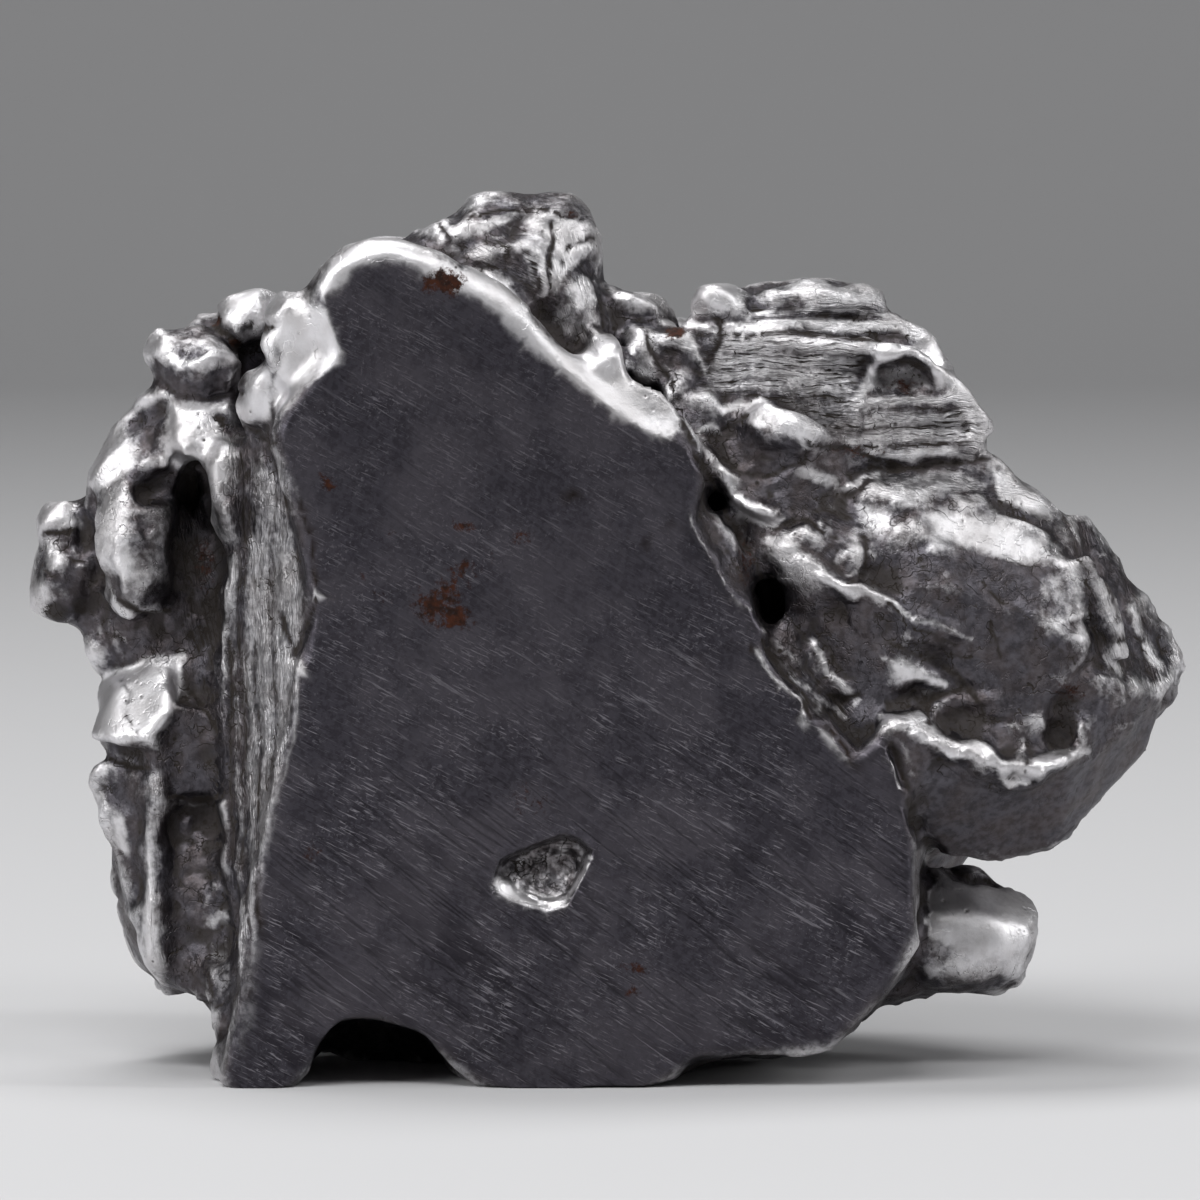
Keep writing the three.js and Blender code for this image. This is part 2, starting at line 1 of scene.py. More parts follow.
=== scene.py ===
"""An iron meteorite with one ground face, standing on a pale studio floor."""

import math

import bmesh
import bpy
import numpy as np
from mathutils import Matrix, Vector


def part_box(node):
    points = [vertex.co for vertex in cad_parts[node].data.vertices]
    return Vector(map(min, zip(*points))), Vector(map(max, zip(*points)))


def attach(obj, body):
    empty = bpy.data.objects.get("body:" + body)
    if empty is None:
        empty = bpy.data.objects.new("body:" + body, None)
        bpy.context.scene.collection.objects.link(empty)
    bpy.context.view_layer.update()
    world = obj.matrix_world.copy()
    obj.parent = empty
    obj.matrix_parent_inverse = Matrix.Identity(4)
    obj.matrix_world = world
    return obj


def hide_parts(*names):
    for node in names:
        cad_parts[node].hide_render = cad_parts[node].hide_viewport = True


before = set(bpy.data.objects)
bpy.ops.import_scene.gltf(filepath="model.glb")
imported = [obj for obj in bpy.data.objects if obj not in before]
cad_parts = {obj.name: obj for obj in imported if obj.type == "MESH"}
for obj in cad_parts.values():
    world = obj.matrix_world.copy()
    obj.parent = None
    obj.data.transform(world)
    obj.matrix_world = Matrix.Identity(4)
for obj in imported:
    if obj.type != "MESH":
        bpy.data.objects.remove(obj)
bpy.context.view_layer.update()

bl_info = {
    "name": "Iron meteorite",
    "version": (1, 0, 0),
    "blender": (4, 5, 0),
    "location": "3D View > Sidebar > Meteorite",
    "description": "Torn and worn iron over the meteorite's solid, and a studio to show it in",
    "category": "Object",
}

NODE = "meteorite"
MILLIMETRES = 1000  # in a metre
LEFT_END = 0.392  # from the node's left end to the drawing's zero, in millimetres

# The drawing's zero in the photograph's pixels, and a pixel's width in millimetres
LEFT_EDGE = 28
FEET = 1090
PIXEL = 0.035

# The camera: its distance, the drawing place that it looks at, and how far down it looks
VIEW_FROM = 350.0
VIEW_X = 20.0
VIEW_Z = 17.2
VIEW_TILT = math.radians(4.0)


# Places: drawing millimetres, the photograph's pixels, and the node's metres


def drawing_corner():
    """The node's place, in metres, of the drawing's zero: left end of the face, face plane, floor."""
    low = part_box(NODE)[0]
    return np.array([low[0] + LEFT_END / MILLIMETRES, low[1], low[2]])


def in_picture(places):
    """Where drawing places are seen: the camera's perspective, as photograph pixels across and down."""
    far = 1 + places[:, 1] / VIEW_FROM
    across = VIEW_X + (places[:, 0] - VIEW_X) / far
    lift = (places[:, 2] - VIEW_Z) * math.cos(VIEW_TILT) + places[:, 1] * math.sin(VIEW_TILT)
    up = VIEW_Z + lift / far
    return np.stack([LEFT_EDGE + across / PIXEL, FEET - up / PIXEL], axis=1)


# Whole-array helpers


def ease(low, high, value):
    """0 below low, 1 above high, and the smooth cubic 3t^2 - 2t^3 between them."""
    part = np.clip((value - low) / (high - low), 0, 1)
    return part * part * (3 - 2 * part)


def scatter(cell, seed):
    """Repeatable random numbers, 0 to 1, for whole-number cells: products, xors and shifts."""
    mixed = (cell[:, 0] * 73856093) ^ (cell[:, 1] * 19349663) ^ (cell[:, 2] * 83492791)
    mixed = (mixed ^ (seed * 2654435761)) & 0xFFFFFFFF
    for _ in range(2):
        mixed = ((mixed ^ (mixed >> 16)) * 0x45D9F3B) & 0xFFFFFFFF
    return ((mixed ^ (mixed >> 16)) & 0xFFFFFF) / 0xFFFFFF


def ripple(places, seed):
    """Smooth noise, about -1 to 1: a random slope at each whole-number corner, blended between."""
    cell = np.floor(places).astype(np.int64)
    part = places - cell
    blend = part**3 * (part * (part * 6 - 15) + 10)
    total = np.zeros(len(places))
    for corner in np.ndindex(2, 2, 2):
        here = cell + corner
        turn = scatter(here, seed) * math.tau
        rise = scatter(here, seed + 101) * 2 - 1
        flat = np.sqrt(1 - rise * rise)
        slope = np.stack([flat * np.cos(turn), flat * np.sin(turn), rise], axis=1)
        weight = np.prod(np.where(corner, blend, 1 - blend), axis=1)
        total += weight * np.sum(slope * (part - corner), axis=1)
    return total * 1.6


def drift(places, seed, count=3):
    """Ripples with seeds in a row, as the columns of one array."""
    return np.stack([ripple(places, seed + n) for n in range(count)], axis=1)


def around(places, seed):
    """For each of the 27 unit cells about the places: the cell, and the way from its random centre."""
    cell = np.floor(places).astype(np.int64)
    for step in np.ndindex(3, 3, 3):
        here = cell + step - 1
        yield here, places - (here + np.stack([scatter(here, seed + n) for n in range(3)], axis=1))


def cells(places, seed):
    """Distances to the nearest and the next random centre, with one centre in each unit cell."""
    near, following = np.full((2, len(places)), 9.0)
    for _here, off in around(places, seed):
        gap = np.linalg.norm(off, axis=1)
        following = np.minimum(following, np.maximum(near, gap))
        near = np.minimum(near, gap)
    return near, following


def facets(places, seed):
    """Small tilted planes: each unit cell has a centre and a slope, blended sharply by nearness."""
    total = np.zeros(len(places))
    weights = np.full(len(places), 1e-12)
    for here, off in around(places, seed):
        slope = np.stack([scatter(here, seed + 3 + n) for n in range(3)], axis=1) - 0.5
        weight = np.exp(-9.0 * np.sum(off * off, axis=1))
        total += weight * np.sum(off * slope, axis=1)
        weights += weight
    return total / weights * 2


def crumple(places, size, seed):
    """Folded noise, 0 to 1: one less the size of a ripple, in two octaves, so its folds are sharp."""
    wide = 1 - np.abs(ripple(places / size, seed)) * 1.4
    fine = 1 - np.abs(ripple(places / size * 2.1, seed + 7)) * 1.4
    return np.clip(wide * 0.65 + fine * 0.35, 0, 1)


def from_path(seen, path):
    """Pixels from each place to a path of x, y, x, y and so on, and how far along it, 0 to 1."""
    knots = np.reshape(path, (-1, 2)).astype(float)
    runs = np.diff(knots, axis=0)
    lengths = np.hypot(runs[:, 0], runs[:, 1])
    before = np.concatenate([[0], np.cumsum(lengths)])
    best = np.full(len(seen), 1e9)
    along = np.zeros(len(seen))
    for start, run, length, gone in zip(knots, runs, lengths, before):
        offset = seen - start
        part = np.clip(offset @ run / length**2, 0, 1)
        gap = np.linalg.norm(offset - part[:, None] * run, axis=1)
        closer = gap < best
        best = np.where(closer, gap, best)
        along = np.where(closer, (gone + part * length) / before[-1], along)
    return best, along


def within(seen, corners, feather, grow=0.0):
    """1 inside a polygon of pixels and 0 outside, eased over the feather on both sides of its grown edge."""
    ring = np.reshape(corners + corners[:2], (-1, 2)).astype(float)
    gap = from_path(seen, ring)[0]
    inside = np.zeros(len(seen), bool)
    for (ax, ay), (bx, by) in zip(ring[:-1], ring[1:]):
        if ay != by:
            crosses = (ay > seen[:, 1]) != (by > seen[:, 1])
            inside ^= crosses & (seen[:, 0] < ax + (seen[:, 1] - ay) / (by - ay) * (bx - ax))
    return ease(-feather, feather, np.where(inside, gap, -gap) + grow)


def near_box(seen, path, reach):
    """The places that lie within reach of a path's own box, so that only they are worked on."""
    knots = np.reshape(path, (-1, 2))
    low = knots.min(axis=0) - reach
    high = knots.max(axis=0) + reach
    return np.nonzero(np.all((seen > low) & (seen < high), axis=1))[0]


# What the photograph shows, in its pixels. Paths and outlines are x, y, x, y and so on.

# The ground face's outline
FACE = [
    325, 307, 334, 276, 368, 256, 405, 256, 440, 272, 474, 290, 517, 319, 548, 353, 591, 390, 637, 424, 674,
    441, 691, 464, 690, 490, 682, 521, 702, 553, 725, 593, 748, 607, 757, 633, 748, 647, 771, 679, 799, 701,
    802, 721, 825, 727, 845, 753, 859, 767, 882, 744, 897, 779, 897, 804, 905, 856, 905, 927, 885, 970, 858,
    1005, 828, 1033, 759, 1041, 691, 1047, 645, 1079, 514, 1090, 477, 1067, 425, 1027, 382, 1007, 348, 1010,
    319, 1036, 274, 1089, 245, 1093, 234, 1073, 245, 1016, 254, 950, 265, 873, 281, 800, 297, 727, 308, 665,
    319, 607, 312, 550, 299, 487, 285, 427, 331, 370, 339, 347,
]

# The pit in the face, and the edge that it slopes gently from
PIT = [
    488, 886, 499, 858, 520, 848, 540, 840, 563, 832, 579, 837, 593, 850, 581, 878, 566, 906, 547, 912, 512,
    901,
]
PIT_BANK = [488, 886, 512, 901, 547, 912, 566, 906]

# Ridges: half width in pixels, rise in millimetres, brightness (worn polish and painted highlight), path
RIDGES = [
    # left flank
    (6, 0.22, 1.0, 143, 353, 159, 335, 166, 350, 179, 366, 199, 365, 212, 356, 239, 353),
    (5, 0.15, 0.8, 169, 395, 145, 398, 126, 410, 108, 432),
    (3, 0.12, 0.5, 166, 516, 159, 539, 166, 575),
    (5, 0.1, 1.0, 40, 512, 60, 519, 76, 525),
    (4, 0.08, 0.8, 31, 548, 33, 562),
    (4, 0.08, 0.9, 48, 541, 52, 553),
    (4, 0.15, 0.4, 106, 596, 122, 604, 143, 606, 166, 604),
    (4, 0.12, 0.7, 146, 660, 165, 655, 180, 654),
    (4, 0.1, 1.0, 78, 712, 77, 728, 80, 744),
    (4, 0.12, 0.9, 86, 764, 96, 766, 104, 772),
    (6, 0.12, 0.1, 151, 760, 152, 800, 149, 850, 147, 900, 150, 960),
    (4, 0.1, 0.4, 234, 440, 236, 520, 234, 600, 235, 700, 238, 800, 241, 900, 243, 1000, 240, 1060),
    (2.5, 0.07, 0.3, 247, 470, 248, 560, 246, 650, 248, 760, 250, 860),
    (3.5, 0.08, 0.4, 262, 450, 266, 540, 264, 640, 266, 720, 262, 800),
    (3.5, 0.09, 0.45, 278, 455, 284, 540, 276, 640, 282, 720, 272, 790, 264, 840),
    (3, 0.1, 0.6, 297, 673, 293, 733, 283, 773, 270, 806, 262, 839),
    (5, 0.14, 0.9, 286, 654, 296, 664, 302, 674),
    (5, 0.12, 1.0, 312, 596, 324, 598),
    (4, 0.12, 0.4, 290, 470, 300, 500, 303, 530),
    (3, 0.1, 0.6, 169, 801, 182, 802),
    (5, 0.12, 0.6, 206, 925, 218, 915, 229, 918),
    (5, 0.1, 0.8, 203, 1040, 207, 1050, 206, 1060),
    # crest
    (3, 0.15, 0.7, 471, 226, 493, 221, 512, 206, 532, 217, 540, 221),
    (3, 0.16, 1.0, 540, 221, 547, 236, 543, 262, 545, 293),
    (3, 0.1, 0.7, 501, 197, 553, 201, 582, 217),
    (3, 0.08, 0.3, 420, 250, 450, 250, 490, 262, 520, 290),
    (3, 0.12, 0.5, 568, 262, 576, 250, 590, 244, 598, 256, 596, 280),
    (3, 0.12, 0.6, 556, 318, 568, 308, 585, 308, 596, 322, 590, 340),
    (3.5, 0.16, 0.8, 605, 284, 636, 301, 662, 312),
    (3, 0.14, 1.0, 662, 321, 690, 323, 714, 327),
    (3, 0.14, 0.9, 662, 341, 692, 344, 705, 369),
    (4, 0.14, 0.7, 636, 326, 645, 340, 648, 360),
    # wedge
    (3, 0.1, 0.7, 747, 314, 805, 309, 873, 312, 910, 318),
    (5.5, 0.2, 1.0, 724, 326, 801, 323, 846, 327, 896, 325, 928, 339, 941, 366, 940, 385),
    (2.5, 0.08, 0.4, 716, 345, 770, 342, 830, 346, 878, 344),
    (2.5, 0.08, 0.45, 712, 360, 770, 357, 850, 362),
    (3, 0.1, 0.5, 706, 376, 760, 372, 830, 378, 850, 376),
    (2.5, 0.08, 0.4, 700, 390, 740, 388, 800, 392, 840, 390),
    (4.5, 0.2, 1.0, 900, 348, 882, 355, 871, 366, 866, 384, 851, 400),
    (4, 0.12, 0.9, 928, 352, 936, 366, 937, 379),
    (3.5, 0.14, 0.9, 851, 402, 910, 398, 964, 400),
    (3, 0.1, 0.8, 851, 407, 855, 429),
    (3, 0.1, 0.6, 862, 418, 910, 416, 962, 418),
    (3, 0.1, 0.6, 858, 434, 910, 436, 960, 434),
    (5, 0.16, 1.0, 964, 384, 973, 411, 970, 436, 986, 451),
    (3, 0.1, 0.8, 860, 452, 910, 456, 940, 452, 984, 456),
    # the lump and the ledges under the wedge
    (4, 0.12, 0.9, 724, 409, 742, 404),
    (4.5, 0.18, 1.0, 747, 409, 760, 403, 787, 418, 803, 432),
    (3.5, 0.12, 0.8, 692, 434, 710, 425, 722, 432),
    (3.5, 0.16, 0.9, 828, 497, 855, 484, 873, 475, 882, 493, 910, 502),
    (4, 0.12, 0.7, 785, 468, 812, 470, 837, 482),
    (4, 0.2, 0.9, 697, 434, 719, 470, 737, 497, 765, 511, 783, 520),
    (3, 0.12, 0.8, 730, 492, 752, 502, 780, 512),
    (4.5, 0.25, 1.0, 771, 538, 792, 547, 810, 570, 837, 583, 869, 592, 901, 610, 937, 624, 973, 638),
    (3, 0.14, 0.8, 792, 530, 803, 525, 815, 538),
    (3, 0.1, 0.7, 836, 560, 846, 548, 856, 552, 858, 566, 848, 574),
    (3, 0.1, 0.5, 774, 640, 786, 652, 800, 660),
    (4, 0.2, 0.9, 811, 637, 822, 655, 835, 676, 845, 690, 858, 698),
    (3, 0.1, 0.6, 822, 700, 834, 708, 846, 716),
    (2.2, 0.03, 0.7, 687, 514, 709, 552, 723, 579, 736, 601, 757, 612, 762, 629),
    (2.5, 0.06, 0.9, 753, 647, 774, 678, 805, 701, 805, 724),
    (3, 0.12, 0.7, 788, 672, 804, 684, 816, 694, 820, 712),
    (3, 0.08, 1.0, 806, 726, 822, 730, 838, 752, 850, 760),
    # great block
    (4, 0.18, 1.0, 878, 656, 901, 669, 946, 683),
    (3, 0.1, 0.5, 882, 640, 905, 645, 915, 652),
    (3, 0.1, 0.35, 889, 630, 930, 640, 968, 660, 980, 690),
    (4.5, 0.2, 0.6, 1055, 543, 1064, 570, 1077, 592, 1086, 615),
    (3, 0.12, 0.8, 1062, 618, 1086, 611),
    (4, 0.3, 1.0, 882, 717, 910, 730, 946, 749, 953, 755, 973, 744, 991, 753, 1009, 783, 1027, 780, 1050, 764,
     1079, 753),
    (4, 0.16, 0.8, 920, 712, 932, 728, 942, 742),
    (3, 0.12, 0.7, 1014, 770, 1022, 745, 1020, 738),
    (3, 0.12, 0.8, 1020, 774, 1040, 756, 1068, 748),
    (3, 0.1, 0.7, 1000, 726, 1018, 722),
    (3, 0.08, 0.5, 1040, 690, 1062, 684, 1086, 690),
    (2, 0.05, 0.7, 889, 760, 896, 778, 900, 796),
    (5, 0.12, 1.0, 1128, 603, 1134, 618, 1138, 630),
    (4.5, 0.12, 1.0, 1144, 640, 1150, 652, 1160, 666),
    (3.5, 0.1, 0.9, 1165, 618, 1172, 640, 1177, 662),
    (3, 0.1, 1.0, 1159, 687, 1168, 678, 1177, 670),
    (4.5, 0.1, 0.8, 1104, 652, 1112, 664, 1121, 674),
    (4, 0.12, 0.7, 920, 890, 926, 910, 930, 934),
    # pit: no rise, only a painted highlight on its gentle bank and its edges
    (8, 0.0, 1.0, 500, 885, 520, 894, 545, 903, 558, 900),
    (2, 0.0, 1.0, 564, 902, 578, 878, 590, 855),
    (4, 0.0, 0.7, 556, 852, 562, 848),
    (2, 0.0, 0.6, 560, 886, 570, 870),
]

# Cracks: half width in pixels, depth in millimetres, darkness, path
CRACKS = [
    # the crevice beside the slab
    (2.5, 0.15, 0.9, 640, 318, 649, 349, 660, 369, 673, 382, 684, 420),
    (3, 0.2, 1.0, 684, 420, 694, 452, 709, 478, 724, 512, 742, 540, 756, 562, 762, 590),
    (2.5, 0.2, 1.0, 760, 640, 780, 666, 803, 694, 812, 722),
    (2.5, 0.15, 1.0, 823, 724, 840, 740, 854, 764),
    (3.5, 0.2, 0.9, 826, 694, 846, 700, 862, 692),
    (2, 0.08, 0.7, 700, 500, 722, 540, 744, 580),
    (1.8, 0.05, 0.5, 706, 520, 730, 566),
    (2.2, 0.1, 0.8, 772, 640, 790, 664, 818, 690, 822, 712),
    (4.5, 0.35, 1.0, 889, 742, 901, 764, 907, 787),
    (4.5, 0.4, 0.9, 907, 800, 922, 835, 941, 862, 970, 876, 999, 881, 1014, 876),
    # great block
    (2.5, 0.14, 1.0, 984, 583, 992, 592, 1002, 604),
    (2.5, 0.12, 1.0, 989, 619, 994, 640, 1000, 656),
    (2, 0.08, 0.8, 914, 547, 920, 556, 925, 567),
    (2.5, 0.14, 0.9, 1050, 640, 1062, 652, 1074, 660),
    (2.5, 0.1, 0.7, 903, 579, 918, 574, 932, 580),
    (4, 0.2, 0.8, 887, 640, 920, 655, 955, 672, 973, 690),
    (4, 0.3, 1.0, 916, 700, 928, 702, 940, 692),
    (3, 0.2, 0.9, 928, 702, 926, 722),
    (2.5, 0.15, 0.9, 940, 694, 955, 690, 969, 687, 982, 715),
    (2, 0.1, 0.8, 1024, 742, 1030, 756, 1026, 770),
    (3, 0.12, 0.5, 1062, 504, 1068, 530, 1080, 560, 1092, 600, 1096, 640),
    (3, 0.12, 0.8, 1120, 640, 1134, 636, 1142, 640),
    (2.5, 0.08, 0.6, 1094, 560, 1112, 592, 1120, 620),
    (1.8, 0.06, 0.7, 1000, 604, 1010, 607, 1020, 610),
    (2, 0.06, 0.6, 942, 596, 960, 606, 968, 618),
    (2, 0.07, 0.7, 936, 640, 950, 652, 972, 658),
    (2, 0.06, 0.6, 1008, 640, 1022, 660, 1030, 684),
    (2, 0.06, 0.6, 1024, 612, 1036, 628, 1040, 646),
    (2.2, 0.1, 0.9, 958, 682, 972, 694, 984, 708),
    (1.8, 0.05, 0.6, 950, 560, 962, 574, 966, 586),
    # under the wedge
    (2.5, 0.15, 0.9, 805, 440, 850, 450, 873, 458, 912, 466, 946, 462, 991, 456),
    (3, 0.2, 0.8, 719, 458, 740, 470, 765, 474, 800, 462, 806, 450),
    (3, 0.14, 0.8, 722, 430, 740, 420, 746, 412),
    (2.5, 0.16, 0.9, 715, 316, 722, 334, 706, 361),
    (2.5, 0.1, 0.8, 724, 336, 801, 334, 870, 337, 905, 337),
    (1.8, 0.05, 0.5, 716, 352, 780, 350, 848, 354),
    (1.8, 0.05, 0.5, 708, 368, 770, 365, 850, 370),
    (1.8, 0.05, 0.5, 704, 383, 770, 381, 845, 386),
    (1.8, 0.06, 0.6, 860, 427, 910, 426, 966, 427),
    (1.8, 0.06, 0.6, 860, 409, 910, 408, 960, 409),
    (2, 0.06, 0.6, 860, 444, 920, 446, 966, 444),
    (3, 0.2, 0.9, 900, 361, 914, 362, 928, 370),
    (2.5, 0.14, 0.8, 830, 490, 845, 494, 860, 488, 868, 478),
    (2.5, 0.2, 0.9, 775, 528, 792, 520, 806, 518, 822, 530, 836, 536),
    (2.5, 0.16, 0.9, 864, 536, 868, 555, 860, 578, 846, 582),
    (2.5, 0.12, 0.8, 886, 604, 896, 612, 920, 628, 955, 644),
    (2.5, 0.14, 0.7, 818, 500, 826, 508, 824, 524),
    (2.5, 0.12, 0.7, 796, 640, 806, 664, 824, 690),
    # left flank
    (4, 0.3, 1.0, 206, 320, 229, 333, 247, 362),
    (2.5, 0.14, 0.7, 156, 360, 160, 378, 176, 394, 206, 398, 246, 392),
    (3.5, 0.2, 0.9, 235, 425, 256, 430, 272, 443),
    (2.5, 0.16, 1.0, 182, 673, 198, 700, 216, 733),
    (2.5, 0.18, 1.0, 166, 796, 195, 798, 226, 793),
    (2.5, 0.18, 1.0, 86, 754, 123, 761, 149, 768),
    (3, 0.2, 1.0, 116, 597, 143, 611, 169, 610),
    (2.5, 0.12, 0.9, 279, 612, 295, 652, 315, 600),
    (2.5, 0.2, 1.0, 232, 932, 234, 998),
    (2.5, 0.14, 1.0, 257, 900, 262, 935),
    (2, 0.06, 0.6, 254, 640, 256, 706, 258, 773, 256, 839, 259, 928),
    (2.2, 0.07, 0.6, 243, 450, 242, 560, 241, 640),
    (2, 0.05, 0.5, 272, 520, 271, 640, 276, 720, 268, 790),
    (1.8, 0.06, 0.5, 242, 700, 244, 800, 247, 900, 250, 1000),
    (3, 0.1, 0.8, 230, 640, 231, 760, 232, 860),
    (2.5, 0.18, 1.0, 43, 534, 60, 533, 80, 529),
    (2.2, 0.1, 0.8, 42, 552, 45, 570, 60, 578),
    (2.5, 0.12, 0.9, 66, 545, 72, 562, 86, 560),
    (2, 0.08, 0.6, 166, 945, 176, 960, 206, 990),
    (2, 0.12, 0.8, 206, 940, 205, 960, 210, 996),
    (3, 0.2, 0.9, 198, 1001, 215, 1004, 232, 1000),
    (2.5, 0.12, 0.9, 300, 500, 312, 545, 316, 585),
    (2.5, 0.1, 0.6, 110, 590, 100, 620, 116, 660),
    (2, 0.08, 0.5, 96, 612, 120, 640, 128, 658),
    (1.8, 0.05, 0.5, 112, 668, 130, 690, 126, 716, 140, 736),
    # crest
    (2, 0.12, 1.0, 549, 222, 553, 240, 549, 264, 551, 292),
    (2.5, 0.1, 0.7, 462, 262, 500, 268, 530, 290, 548, 316),
    (2, 0.08, 0.8, 520, 214, 512, 240, 506, 262),
    (2, 0.08, 0.7, 528, 250, 536, 270, 540, 290),
    (2, 0.06, 0.6, 480, 240, 500, 244, 520, 236),
    (2, 0.1, 0.8, 470, 216, 500, 208, 540, 210, 580, 222),
    (2.5, 0.1, 0.8, 436, 218, 446, 234, 462, 246),
    (2, 0.08, 0.8, 564, 262, 572, 244, 592, 238),
    (3, 0.12, 0.9, 404, 236, 440, 246, 470, 262),
    (3, 0.16, 0.9, 599, 300, 602, 318, 600, 330),
    # hairlines on the face
    (2, 0.03, 0.9, 569, 492, 582, 501, 596, 508),
    (2, 0.03, 0.9, 636, 538, 649, 541, 663, 529, 673, 522),
    (2, 0.04, 0.9, 754, 647, 731, 651, 699, 656),
]

# Hollows: x, y, half width, half height, turn in degrees, depth in millimetres, darkness; the darkness is
# painted shade in the pocket, and a hollow with no depth is a painted shadow alone
HOLLOWS = [
    (770, 600, 12, 22, 0, 0.15, 1.0), (760, 486, 26, 16, 30, 0.2, 0.2), (894, 466, 15, 6, 0, 0.15, 1.0),
    # the hollows at 1062, 704 and 1066, 726 are a shallow pocket with painted shade
    (902, 378, 27, 15, 0, 0.03, 0.0), (930, 654, 36, 16, 25, 0.2, 0.45), (1062, 704, 26, 22, 10, 0.05, 0.4),
    (1066, 726, 13, 22, 10, 0.05, 0.7), (843, 728, 14, 12, 0, 0.05, 0.35), (150, 488, 24, 20, 0, 0.12, 0.2),
    (144, 430, 18, 26, 0, 0.15, 0.3), (188, 486, 12, 26, 0, 0.2, 1.0), (192, 555, 16, 44, 0, 0.05, 0.4),
    (212, 318, 9, 8, 0, 0.4, 1.0), (258, 327, 20, 6, 0, 0.3, 0.8), (219, 418, 10, 5, 0, 0.2, 0.9),
    # the hollows at 80, 606 and 58, 612 paint the shadow under the knob at the far left
    (196, 848, 30, 42, 0, 0.05, 0.25), (80, 606, 12, 14, 0, 0.15, 0.8), (58, 612, 16, 14, 0, 0.0, 0.7),
    (604, 330, 16, 6, 30, 0.08, 0.5), (615, 316, 14, 8, 20, 0.08, 0.6), (800, 510, 22, 10, 10, 0.12, 0.3),
    (826, 624, 40, 34, 30, 0.08, 0.0),
]
